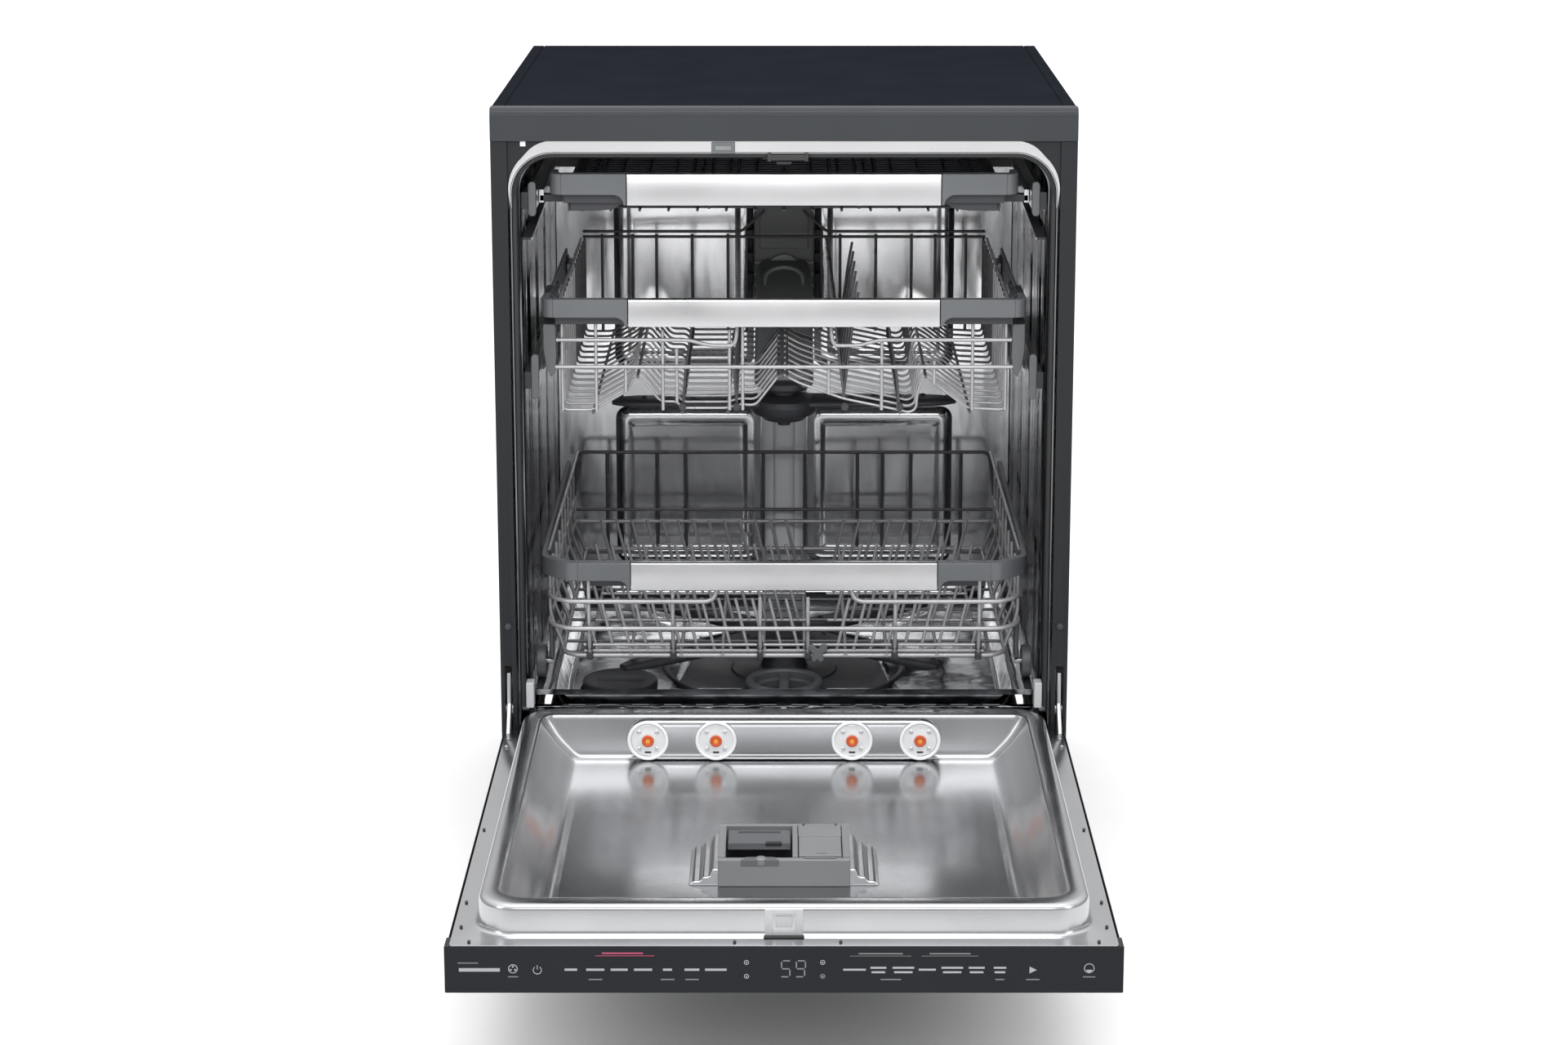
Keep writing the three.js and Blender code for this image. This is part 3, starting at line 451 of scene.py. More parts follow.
def side_panels():
    for side, sign in SIDES:
        softened(f"{side}_side_panel", CAB, CHARCOAL, 0.45)
        flange, slot, height = sign * 291, sign * 287.2, 300
        disc(f"flange_washer_{side}", 5.2, 1.6, 2.5, (flange, 0, height), CAB, CHARCOAL, "v", edge=0.3)
        screw(f"flange_screw_{side}", (flange, 1.7, height), CAB, "v", 3.4, DARK)
        slab(f"slot_liner_{side}", (slot - 0.5, 4, 178), (slot + 0.5, 16, 259), CAB, CHROME, 0.2)
        corner = [(sign * x, z) for x, z in ((283, 815.5), (283, 744), (277, 752), (270, 784), (254, 800),
            (232, 806), (226, 815.5))]
        prism(f"corner_gusset_{side}", corner, "v", 5.0, 6.2, CAB, CHARCOAL, 0.2)


def arch_line(half, top, radius, foot, steps=14):
    """Points and outward normals of an upside-down U."""
    line = [((half, foot), (1, 0))]
    for sign, (start, end) in ((1, (0, 90)), (-1, (90, 180))):
        for i in range(steps + 1):
            turn = math.radians(start + (end - start) * i / steps)
            normal = (math.cos(turn), math.sin(turn))
            line.append(((sign * (half - radius) + radius * normal[0], top - radius + radius * normal[1]),
                normal))
    line.append(((-half, foot), (-1, 0)))
    return line


def along_arch(name, line, profile, mat, replaces=(), angle=35):
    """Carries a closed profile of (outward, behind) along an arch."""
    loops = [[at(x + out * nx, v, z + out * nz) for out, v in profile] for (x, z), (nx, nz) in line]
    return loft(name, loops, CAB, mat, 0, replaces, angle=angle)


MOUTH = (279, 803, 42)  # half width, top and corner radius of the cabinet's mouth


def tub():
    back = span("tub_wrap")[1].y
    foot = span("tub_wrap")[0].z
    ribs = []
    for v in (96, 214, 332, 450):
        ribs += [(-7, v - 9), (-5.9, v - 5), (-5.9, v + 5), (-7, v + 9)]
    inner = [(1.5, 3), (0.8, 3), (0, 3.8), (0, 28), (-6.2, 28), (-7, 29), *ribs, (-7, back)]
    outer = [(-5.4, back), (-5.4, 29.8), (1.5, 29.8)]
    along_arch("tub_wrap_steel", arch_line(*MOUTH, foot), inner + outer, TUB_STEEL_PAINTED_SHADE, "tub_wrap", 50)
    face = []
    for (x, z), (nx, nz) in arch_line(*MOUTH, 747):
        wide = 1.4 + 5.6 * min((z - 747) / 48, 1) + 6 * max((z - 795) / 8, 0)
        face.append([at(x + out * nx, v, z + out * nz) for out,
            v in ((0.2, 3), (wide, 3), (wide, 4.4), (0.2, 4.4))])
    loft("mouth_front_face", face, CAB, BAND_STEEL, angle=50)
    seal = [(-0.3, 6), (-0.3, 21), (-3.4, 22), (-4.8, 20), (-4.9, 15.5), (-3.6, 13.5), (-4.9, 11.5),
        (-4.9, 6.8), (-3.4, 5.4)]
    along_arch("door_gasket_rubber", arch_line(*MOUTH, 210), seal, RUBBER, "door_gasket", 60)
    slab("corner_mark", (-269.5, 4.2, 810.3), (-264, 5.3, 815.8), CAB, WHITE, 0.3)
    for side, sign in SIDES:
        slab(f"gasket_end_{side}", *side_box(sign, 265.5, 7, 208, 274, 23, 236), CAB, PALE, 1.2)


def tub_back():
    lo, hi = span("tub_back_wall")
    plate = lo.y + 7.3
    prism("tub_back_plate", rounded_rect(lo.x, hi.x, lo.z, hi.z, 38, 2), "v", plate, plate + 1.5, CAB,
        BACK_STEEL_PAINTED_LIGHT, 0, "tub_back_wall")
    for row, (z0, z1, near) in (("upper", (470, 700, 36)), ("lower", (226, 421, 28))):
        for side, sign in SIDES:
            x0, x1 = across(sign, near, 203)
            stages = [(0, plate + 0.2), (1.5, plate - 1.5), (7, plate - 7), (9.5, plate - 8),
                (15, plate - 8), (17, plate - 7.4), (20, plate - 4.5), (24, plate - 4)]
            loops = stepped(x0, x1, z0, z1, stages, lambda g: max(14 - g / 2, 3))
            loft(f"back_pressing_{row}_{side}", loops, CAB, BACK_STEEL_PAINTED_LIGHT, caps=(False, True), angle=50)


def tub_floor():
    lo, hi = span("tub_floor")
    ledge, floor = hi.z, 187
    sump_v, sump_r = 215, 139
    steps = 12

    def shelf(inset, z, radius):
        points = rounded_rect(lo.x + inset, hi.x - inset, 26 + inset * 0.2, hi.y - inset * 0.3, radius,
            steps=steps)
        return [at(x, v, z) for x, v in points]

    outer = rounded_rect(lo.x, hi.x, 26, hi.y, 8, steps=steps)
    turns = [math.atan2(v - sump_v, x) for x, v in outer]

    def circle(radius, z):
        return [at(radius * math.cos(t), sump_v + radius * math.sin(t), z) for t in turns]

    loops = [shelf(0, ledge + 6, 8), shelf(1, ledge, 8), shelf(24, ledge - 0.5, 10),
        shelf(27, ledge - 3, 12), shelf(34, floor + 9, 22), shelf(40, floor + 5, 30),
        circle(sump_r + 14, floor + 3.5), circle(sump_r + 4, floor + 3), circle(sump_r + 1, floor + 1),
        circle(sump_r, floor - 4)]
    loft("tub_floor_pan", loops, CAB, FLOOR_STEEL_PAINTED_SHADE, 0, "tub_floor", caps=(False, False), angle=50)
    sill = [(-3, 186), (-3, 189), (0, 192), (5, 198), (17, 206), (21, 207.4), (24, 207.4), (26, 205),
        (31, 192), (34, 189), (34, 187), (28, 187), (3, 187)]
    prism("tub_sill", sill, "x", -271.5, 271.5, CAB, TUB_STEEL_PAINTED_SHADE, 0.8)
    # A row of grey dashes on the sill is a painted highlight, a reflection along the sill's top.
    for i in range(14):
        x = 34 * (i - 6.5)
        slab(f"sill_painted_highlight_{i}", (x - 9, 19, 207.0), (x + 9, 22, 208.0), CAB, GREY, 0.4)


def sump_and_filter():
    lo, hi = span("sump")
    v, radius = middle_of("sump")[1], hi.x
    dish = [(0, 184), (radius - 2, 184), (radius, 186), (radius, 191.5), (radius - 1.5, 192.6),
        (radius - 5, 192.4), (radius - 8, 189.6), (radius - 24, 188.6), (radius - 26, 187.2), (60, 186.6),
        (58, 188.4), (30, 188.8), (26, 191), (21, 205), (19, 212), (0, 212)]
    turned("sump_dish", dish, (0, v, 0), CAB, DARK, sides=96)
    bowl = [(0, lo.z), (66, lo.z), (72, lo.z + 3), (92, lo.z + 32), (92, 183.5), (0, 183.5)]
    turned("sump_bowl", bowl, (0, v - 18, 0), CAB, DARK, replaces="sump", sides=64)
    fv = middle_of("filter_cylinder")[1]
    ring, top = span("filter_cylinder")[1].x, span("filter_cylinder")[1].z
    turned("filter_well", [(39, 120), (39, 190), (41, 191.5), (47, 191.5), (49, 190), (49, 120)], (0, fv, 0),
        CAB, DARK)
    profile = [(ring - 9, top - 9), (ring - 9, top - 2), (ring - 7.5, top), (ring - 1.5, top),
        (ring, top - 1.6), (ring, top - 5), (ring - 1, top - 6), (ring - 3, top - 6.4),
        (ring - 3, top - 10.4), (ring - 1.4, top - 11), (ring - 2, top - 12), (33, top - 12), (33, 122),
        (30, 122), (30, top - 11)]
    turned("filter_ring", profile, (0, fv, 0), "filter_cylinder", GREY, replaces="filter_cylinder", sides=64)
    grip = [(fv - ring + 6, top - 9), (fv + ring - 6, top - 9), (fv + ring - 6, top - 4),
        (fv + 12, top - 0.6), (fv - 12, top - 0.6), (fv - ring + 6, top - 4)]
    prism("filter_grip", grip, "x", -5.5, 5.5, "filter_cylinder", GREY, 1.6)
    for i, (x, v) in enumerate(on_circle(36, ring - 2.4)):
        disc(f"filter_notch_{i}", 1.5, top - 10.8, top - 5.8, (x, fv + v, 0), "filter_cylinder", DARK,
            edge=0.3, sides=8)
    disc("filter_mesh", 29.8, 150, 152, (0, fv, 0), "filter_cylinder", ZINC)


def salt_cap():
    lo, hi = span("salt_cap")
    (x, v, _), r = middle_of("salt_cap"), (hi.x - lo.x) / 2
    profile = [(0, 186), (r - 4, 186), (r - 3, 189), (r, 189.6), (r, hi.z - 3), (r - 1.2, hi.z - 1.4),
        (r - 4, hi.z - 0.8), (r - 7, hi.z - 1.4), (0, hi.z - 1.4)]
    turned("salt_cap_lid", profile, (x, v, 0), "salt_cap", DARK, replaces="salt_cap", sides=64)
    slab("salt_cap_grip", (x - 26, v - 4, hi.z - 3), (x + 26, v + 4, hi.z), "salt_cap", DARK, 1.4)
    turned("salt_neck", [(r - 5, 180), (r + 4, 180), (r + 5, 187), (r + 3.5, 189), (r + 1, 189),
        (r - 5, 185)], (x, v, 0), CAB, DARK)


def blade(name, length, root, tip, low, high, angle, centre, body, mat):
    """A spray arm blade: a rounded bar that narrows outwards."""
    stations = 14
    loops = []
    c, s = math.cos(math.radians(angle)), math.sin(math.radians(angle))
    for i in range(stations + 1):
        t = i / stations
        reach = length * t
        half = root + (tip - root) * t
        thick = (high - low) / 2 * (1 - 0.25 * t)
        if i >= stations - 2:
            half *= (1, 0.86, 0.5)[i - stations + 2]
            thick *= (1, 0.9, 0.6)[i - stations + 2]
        ring = []
        for wide, tall in on_circle(16):
            side = half * math.copysign(abs(wide) ** 0.7, wide)
            up = thick * math.copysign(abs(tall) ** 0.8, tall)
            ring.append(at(centre[0] + reach * c - side * s, centre[1] + reach * s + side * c,
                (low + high) / 2 + up))
        loops.append(ring)
    return loft(name, loops, body, mat, angle=60)


def nozzles(name, length, angle, centre, z, body, count=5):
    """Nozzles along a blade, by turns on its two sides, from a quarter of the way out."""
    c, s = math.cos(math.radians(angle)), math.sin(math.radians(angle))
    dome = [(1.35, z - 1), (3, z - 1), (3, z + 0.9), (2.1, z + 1.3), (1.35, z + 0.6)]
    for i in range(count):
        reach = length * (0.25 + 0.7 * i / (count - 1))
        side = (-1) ** i * 4
        x, v = centre[0] + reach * c - side * s, centre[1] + reach * s + side * c
        turned(f"{name}_{i}", dome, (x, v, 0), body, DARK, sides=14)


def lower_arm():
    lo, hi = span("lower_spray_arm")
    v = span("sump")[0].y + span("sump")[1].x
    body = "lower_spray_arm"
    for i, (length, angle) in enumerate(((219, 37), (211, 143), (219, 217), (211, 323))):
        blade(f"lower_arm_blade_{i}", length, 21, 13, lo.z + 8, hi.z - 6, angle, (0, v), body, DARK)
        nozzles(f"lower_arm_nozzle_{i}", length, angle, (0, v), hi.z - 6, body)
    hub = [(0, hi.z), (14, hi.z), (22, hi.z - 2), (29, hi.z - 5), (33, hi.z - 9), (33, lo.z + 7), (29, lo.z),
        (22, lo.z), (22, lo.z + 8), (0, lo.z + 8)]
    turned("lower_arm_hub", hub, (0, v, 0), body, DARK, replaces=body)


def ducts():
    lo, hi = span("rear_water_duct")
    stages = [(0, hi.y), (0, lo.y + 11), (2.5, lo.y + 8), (9, lo.y + 6.5), (14, lo.y + 6.5),
        (15.5, lo.y + 2), (17.5, lo.y), (22, lo.y)]
    loops = stepped(lo.x, hi.x, lo.z, hi.z, stages, lambda g: 5, 4)
    loft("rear_duct_cover", loops, CAB, WHITE, 0, "rear_water_duct", angle=50)
    lo, hi = span("rear_docking_duct")
    hood = [(-36, lo.z), (36, lo.z), (36, 655), (34, 664), (20, hi.z - 3), (17, hi.z), (-17, hi.z),
        (-20, hi.z - 3), (-34, 664), (-36, 655)]
    prism("docking_hood", hood, "v", lo.y + 3, hi.y, CAB, MID_GREY, 2.2, "rear_docking_duct")
    inner = [(-29, 618), (29, 618), (29, 652), (16, 694), (-16, 694), (-29, 652)]
    prism("docking_hood_panel", inner, "v", lo.y + 1.2, lo.y + 4, CAB, MID_GREY, 1.2)
    for i in range(4):
        slab(f"docking_rib_{i}", (-35, lo.y + 0.5, 558 + i * 14), (35, lo.y + 4, 561 + i * 14), CAB, PALE,
            0.7)
    arch = [(-23, 552), *arc(0, 592, 20, 180, 0, 12), (23, 552), (14, 552), *arc(0, 592, 12, 0, 180, 10),
        (-14, 552)]
    prism("docking_arch", arch, "v", lo.y - 1.5, lo.y + 4, CAB, PALE, 0.9)
    for sign in (-1, 1):
        for z in (575, 600, 628):
            clip = side_box(sign, 36, lo.y + 8, z, 45, lo.y + 20, z + 12)
            slab(f"docking_clip_{sign + 1}_{z}", *clip, CAB, DARK, 1.2)


def latch_strike():
    lo, hi = span("latch_strike")
    slab("strike_plate", (lo.x, lo.y + 23, hi.z - 3), (hi.x, hi.y, hi.z), CAB, FOOT_BLACK, 0.6,
        "latch_strike")
    slab("strike_nose", (-8, lo.y, lo.z), (8, lo.y + 26, hi.z - 1), CAB, FOOT_BLACK, 1.0)
    slab("strike_bar", (-16, 1.4, 796), (24, 6, 802), CAB, FOOT_BLACK, 0.9)
    for i, x in enumerate((-17, 21)):
        slab(f"strike_end_{i}", (x, 1.0, 795), (x + 4, 6.4, 804), CAB, FOOT_BLACK, 0.8)
    slab("top_clip", (-74, 0.6, 803), (-50, 3, 815), CAB, GREY, 0.7)
    slab("top_clip_recess", (-70, 0.2, 807), (-54, 1.2, 811), CAB, MID_GREY, 0.4)


def base_and_back():
    softened("base_pan", CAB, DARK, 0.6)
    softened("kick_plate", CAB, CHARCOAL, 0.5)
    softened("back_cover", CAB, ZINC, 0.4)
    lo, hi = span("back_cover")
    plate = lo.y + 7.6 + 1.2
    for i, z in enumerate((220, 400, 580)):
        stages = [(0, plate), (4, plate + 1.6), (20, plate + 1.6), (24, plate + 0.4)]
        loops = stepped(lo.x + 50, hi.x - 50, z, z + 120, stages, lambda g: 16)
        loft(f"back_pressing_{i}", loops, CAB, ZINC, caps=(False, True), angle=50)
    for x in (-280, -140, 0, 140, 280):
        for z in (72, 798):
            screw(f"back_screw_{x}_{z}", (x, plate - 0.2, z), CAB, "v", 3.5, ZINC, 1)
    spigot = [(6.5, 562), (9, 562), (9, 574), (10, 575), (8.5, 579), (6.5, 579.5)]
    turned("drain_spigot", spigot, (-225, 0, 150), CAB, DARK, "v", sides=24)
    for end in ("front", "rear"):
        for side in ("left", "right"):
            node = f"foot_{end}_{side}"
            x, v, _ = middle_of(node)
            pad = [(0, 0), (16.5, 0), (18, 1.2), (18, 5), (16.5, 6.5), (9, 9), (8, 13), (0, 13)]
            turned(f"{node}_pad", pad, (x, v, 0), node, FOOT_BLACK, replaces=node, sides=36)
            thread = [(0, 13)]
            for i in range(14):
                thread += [(4.2, 13 + i * 3.2), (5, 14.6 + i * 3.2)]
            turned(f"{node}_thread", thread + [(0, span(node)[1].z)], (x, v, 0), node, ZINC, sides=20)


def machinery():
    _, v, z = middle_of("wash_pump")
    shaft = (0, v - 5.5, z)
    motor = [(0, 20), (40, 20), (44, 23), (44, 40)]
    for i in range(7):
        motor += [(44, 42 + i * 13), (46, 44 + i * 13), (46, 49 + i * 13), (44, 51 + i * 13)]
    turned("pump_motor", motor + [(44, 140), (36, 148), (0, 150)], shaft, CAB, ZINC, "x", "wash_pump",
        sides=40)
    turned("pump_volute", [(0, -22), (46, -22), (53, -18), (54, 0), (53, 16), (46, 20), (0, 20)], shaft, CAB,
        DARK, "x", sides=40)
    softened("drain_pump", CAB, DARK, 1.5)
    softened("steam_generator", CAB, ZINC, 3)
    softened("inlet_valve", CAB, PALE, 1.2)
    for side in ("left", "right"):
        lo, hi = span(f"door_spring_{side}")
        x, _, z = middle_of(f"door_spring_{side}")
        turns, long, sides = 34, 204, 12
        ring = on_circle(sides, 6.8)
        coil = [(x + ring[i % sides][0], lo.y + 3 + long * i / (sides * turns), z + ring[i % sides][1])
            for i in range(sides * turns + 1)]
        wires(f"door_spring_{side}_coil", [coil], 2.4, CAB, ZINC, bend=0, replaces=f"door_spring_{side}")
        wires(f"door_spring_{side}_link", [[(x, lo.y + 200, z), (x, hi.y, z)],
            [(x, lo.y + 4, z), (x, lo.y - 8, z)]], 2.4, CAB, ZINC, bend=0)


# ---------------------------------------------------------------- door
DOOR = "door"


def outer_panel():
    softened("door_outer_panel", DOOR, CHARCOAL, 0.7)


def inner_liner():
    """Each stage is (half width, far, near, height, far corner radius, near corner radius)."""
    top = span("door_inner_liner")[1].z
    flange = span("control_panel")[1].z + 0.5
    reach = -span("control_panel")[0].y
    pan = span("steam_nozzle_bar")[0].z - 0.6
    stages = [(294.4, reach - 1.2, 4, flange - 1.6, 2, 2), (294.4, reach - 1.2, 4, flange, 2, 2),
        (278, 574, 11.5, flange, 38, 38), (275.6, 571.6, 14.2, flange + 0.5, 36.5, 38),
        (274.4, 570.4, 15.6, flange + 1.8, 36, 38), (273.8, 569.8, 16.4, flange + 5, 35.5, 38),
        (273, 569, 17, top - 5, 35, 37), (272, 568, 18, top - 1.8, 34, 36),
        (269.5, 565.5, 20.5, top - 0.2, 32, 34), (266, 562, 24, top, 30, 32), (257, 552, 38, top, 25, 20),
        (254, 548.5, 41, top - 0.6, 24, 15), (252.6, 547, 42, top - 2.4, 23, 12),
        (251.8, 546, 42.6, top - 5, 23, 10), (247, 542.5, 44, top - 12, 27, 9),
        (241.5, 538, 45.4, top - 20, 25, 8), (235, 533, 46.8, top - 28, 26, 8),
        (232, 530, 47.2, top - 31, 27, 8), (227, 525, 48, top - 36, 28, 8),
        (222.5, 520, 48.6, pan + 4.2, 30, 8), (218.5, 516, 49.4, pan + 1.2, 32, 9),
        (216.5, 512, 51, pan, 32, 10), (209, 504, 58, pan, 32, 12), (120, 430, 150, pan + 0.4, 30, 14)]
    loops = [[at(x, v, z) for x, v in rounded_rect(-half, half, -far, -near, near_r, far_r, steps=10)]
        for half, far, near, z, far_r, near_r in stages]
    loft("door_liner_steel", loops, DOOR, LINER_STEEL_PAINTED_SHADE, 0, "door_inner_liner", caps=(False, True), angle=50)


def pedestal():
    """The stepped flutes on both sides of the dispenser."""
    lo, hi = span("dispenser_housing")
    for side, sign in SIDES:
        steps = [(60, 0), (60, 16.5), (67, 16.5), (69.5, 9), (76, 8.6), (78.5, 4.6), (85, 4.2), (90, 0)]
        outline = [(sign * x, lo.z - 0.2 + z) for x, z in steps]
        prism(f"dispenser_flute_{side}", outline, "v", lo.y + 7, hi.y - 3, DOOR, LINER_STEEL_PAINTED_SHADE, 1.6)


def dispenser():
    lo, hi = span("dispenser_housing")
    half = 62
    far, near, top = lo.y + 4, hi.y - 4, hi.z
    lid_lo, lid_hi = span("detergent_lid")
    rinse_lo, rinse_hi = span("rinse_aid_lid")
    cup_x0, cup_x1, cup_v0, cup_v1 = lid_lo.x - 1.2, lid_hi.x + 1.2, far + 7, near - 5.5
    tank_x0, tank_x1 = rinse_lo.x - 0.9, rinse_hi.x + 0.9
    base = lo.z + 6

    slab("dispenser_front_wall", (-half, far, lo.z), (half, cup_v0, top - 1), DOOR, MID_GREY, 1.2,
        "dispenser_housing")
    slab("dispenser_rear_wall", (-half, cup_v1, base), (half, near, top), DOOR, MID_GREY, 1.0)
    slab("dispenser_left_wall", (-half, cup_v0, base), (cup_x0, cup_v1, top), DOOR, MID_GREY, 1.0)
    slab("dispenser_middle_wall", (cup_x1, cup_v0, base), (tank_x0, cup_v1, top), DOOR, MID_GREY, 0.8)
    slab("dispenser_right_wall", (tank_x1, cup_v0, base), (half, cup_v1, top), DOOR, MID_GREY, 0.9)
    slab("dispenser_floor", (-half + 1, far + 1, lo.z), (half - 1, near - 1, base + 1), DOOR, MID_GREY, 0.6)
    slab("rinse_tank_top", (tank_x0, cup_v0, base), (tank_x1, cup_v1, rinse_lo.z - 0.6), DOOR, GREY, 0.4)
    slab("rinse_rear_plate", (tank_x0 + 0.5, rinse_hi.y + 0.8, top - 4), (tank_x1 - 0.5, cup_v1, rinse_hi.z),
        DOOR, MID_GREY, 0.6)
    slab("cup_floor", (cup_x0, cup_v0, base), (cup_x1, cup_v1, base + 3), DOOR, DARK, 0.4)
    for i, x in enumerate((cup_x0 + 9, cup_x1 - 9)):
        slab(f"cup_guide_{i}", (x - 2.4, cup_v0 + 4, base + 2), (x + 2.4, cup_v0 + 17, lid_lo.z - 0.8), DOOR,
            MID_GREY, 1.2)
    middle = (cup_x0 + cup_x1) / 2
    disc("cup_button", 5, top - 7, top + 0.4, (middle + 2, cup_v0 - 3.6, 0), DOOR, MID_GREY, edge=1.2)
    notch = [(middle - 17, far - 0.4), (middle + 19, far - 0.4), (middle + 14, far + 8),
        (middle - 12, far + 8)]
    prism("cup_notch", notch, "z", top - 7.5, top - 0.9, DOOR, GREY, 0.5)

    body = "detergent_lid"
    slab("lid_plate", (lid_lo.x + 0.4, lid_lo.y + 8, lid_lo.z), (lid_hi.x - 0.4, lid_hi.y, lid_lo.z + 4),
        body, GREY, 0.9, "detergent_lid")
    slope = [(lid_lo.y + 8.2, lid_lo.z), (lid_lo.y + 8.2, lid_lo.z + 4), (lid_lo.y, lid_lo.z + 1.2),
        (lid_lo.y, lid_lo.z)]
    prism("lid_front_slope", slope, "x", lid_lo.x + 0.4, lid_hi.x - 0.4, body, DARK, 0.4)
    slab("lid_groove", (lid_lo.x + 10, lid_hi.y - 9, lid_lo.z + 3.4),
        (lid_hi.x - 10, lid_hi.y - 5, lid_lo.z + 4.3), body, DARK, 0.3)
    slab("lid_grip", (lid_hi.x - 24, lid_lo.y + 4, lid_lo.z + 1),
        (lid_hi.x - 9, lid_lo.y + 9, lid_lo.z + 5.6), body, FOOT_BLACK, 0.5)

    body = "rinse_aid_lid"
    slab("rinse_lid_plate", tuple(rinse_lo), tuple(rinse_hi), body, MID_GREY, 1.0, "rinse_aid_lid")
    slab("rinse_lid_tab", (rinse_lo.x + 5, rinse_lo.y - 4.5, rinse_lo.z - 7),
        (rinse_hi.x - 5, rinse_lo.y + 1, rinse_hi.z - 0.6), body, GREY, 1.0)
    slab("rinse_lid_mark", (rinse_lo.x + 16, rinse_lo.y + 3.5, rinse_hi.z - 0.3),
        (rinse_hi.x - 14, rinse_lo.y + 5, rinse_hi.z + 0.25), body, GREY, 0.15)
    for i, x in enumerate((rinse_lo.x + 3.5, rinse_hi.x - 5.5)):
        slab(f"rinse_hinge_{i}", (x, near - 9, top - 1), (x + 2.4, near - 4, top + 1.2), DOOR, FOOT_BLACK,
            0.4)


def nozzle_bar():
    lo, hi = span("steam_nozzle_bar")
    stages = [(0, hi.y), (0, lo.y + 3), (1.2, lo.y + 1.2), (3, lo.y + 0.6), (5, lo.y + 0.6), (6, lo.y + 1.3),
        (8, lo.y + 1.6)]
    high, z = (hi.z - lo.z) / 2, (lo.z + hi.z) / 2
    loops = stepped(lo.x, hi.x, lo.z, hi.z, stages, lambda g: high - g - 0.05, 12)
    loft("nozzle_bar_steel", loops, DOOR, LINER_STEEL_PAINTED_SHADE, 0, "steam_nozzle_bar", angle=50)
    face = lo.y + 1.6
    ring = [(18, face + 0.5), (21.3, face + 0.5), (21.3, face - 1.5), (20.6, face - 2.4), (19.2, face - 2.6),
        (18.2, face - 1.6)]
    dish = [(0, face + 1.2), (18.6, face + 1.2), (18.4, face - 1.2), (14, face - 0.4), (9, face - 1.8),
        (6, face - 2.2), (0, face - 2.2)]
    seal = [(2.6, face - 1.8), (6.3, face - 1.8), (6.3, face - 3.2), (5.6, face - 4), (3.4, face - 4),
        (2.6, face - 3.4)]
    for i, x in enumerate((-142, -71, 71, 142)):
        turned(f"nozzle_ring_{i}", ring, (x, 0, z), DOOR, WHITE, "v", sides=56)
        turned(f"nozzle_dish_{i}", dish, (x, 0, z), DOOR, CLEAR, "v", sides=48)
        for k, (px, pz) in enumerate(on_circle(4, 13, 45)):
            disc(f"nozzle_jet_{i}_{k}", 2.4, face - 1.9, face - 0.2, (x + px, 0, z + pz), DOOR, CHROME, "v",
                edge=0.5, sides=14)
        slab(f"nozzle_slot_{i}", (x - 3.2, face - 1.8, z - 13.4), (x + 3.2, face - 0.4, z - 11.8), DOOR,
            RUBBER, 0.3)
        turned(f"nozzle_seal_{i}", seal, (x, 0, z), DOOR, ORANGE, "v", sides=36)
        disc(f"nozzle_core_{i}", 2.7, face - 3.4, face - 1.6, (x, 0, z), DOOR, AMBER, "v", edge=0.4,
            sides=20)


def latch_plate():
    lo, hi = span("latch_plate")
    v0, v1 = lo.y - 0.6, hi.y + 0.2
    hx, z0, z1 = 10, 194, 210
    for part, (x0, x1, a, b) in {"left": (lo.x, -hx, lo.z, hi.z), "right": (hx, hi.x, lo.z, hi.z),
            "low": (-hx, hx, lo.z, z0), "high": (-hx, hx, z1, hi.z)}.items():
        slab(f"latch_frame_{part}", (x0, v0, a), (x1, v1, b), DOOR, PALE, 0.35,
            "latch_plate" if part == "left" else ())
    slab("latch_hollow", (-hx - 0.5, v1 + 0.1, z0 - 0.5), (hx + 0.5, v1 + 1.2, z1 + 0.5), DOOR, GREY, 0.3)
    slab("latch_bolt", (-hx + 2.5, v1 - 1.0, z0 + 2.5), (hx - 2.5, v1 + 0.4, z1 - 2.5), DOOR, PALE, 0.8)
    slab("latch_foot", (-18, lo.y - 5, 188.6), (18, lo.y - 0.5, 190.2), DOOR, FOOT_BLACK, 0.6)


def hinge_arms():
    for side, sign in SIDES:
        softened(f"hinge_arm_{side}", DOOR, ZINC, 0.7)
        disc(f"hinge_pin_{side}", 4.4, *across(sign, 285.9, 297), (0, 14, 205), DOOR, CHROME, "x", edge=0.7,
            sides=24)


def flange_screws():
    flange = 189
    for side, sign in SIDES:
        for i, (x, v) in enumerate(((290, -306), (288.7, -492), (287.7, -550), (277.5, -584))):
            screw(f"liner_screw_{side}_{i}", (sign * x, v, flange), DOOR, "z", 1.6, DARK, 1)
        for i, v in enumerate((-38, -62)):
            screw(f"hinge_screw_{side}_{i}", (sign * 289, v, flange), DOOR, "z", 2.6, ZINC, 1)
    for i, x in enumerate((-43.5, 50)):
        screw(f"liner_end_screw_{i}", (x, -584, flange), DOOR, "z", 1.6, DARK, 1)


SEGMENTS = {"5": "acdfg", "9": "abcdfg"}


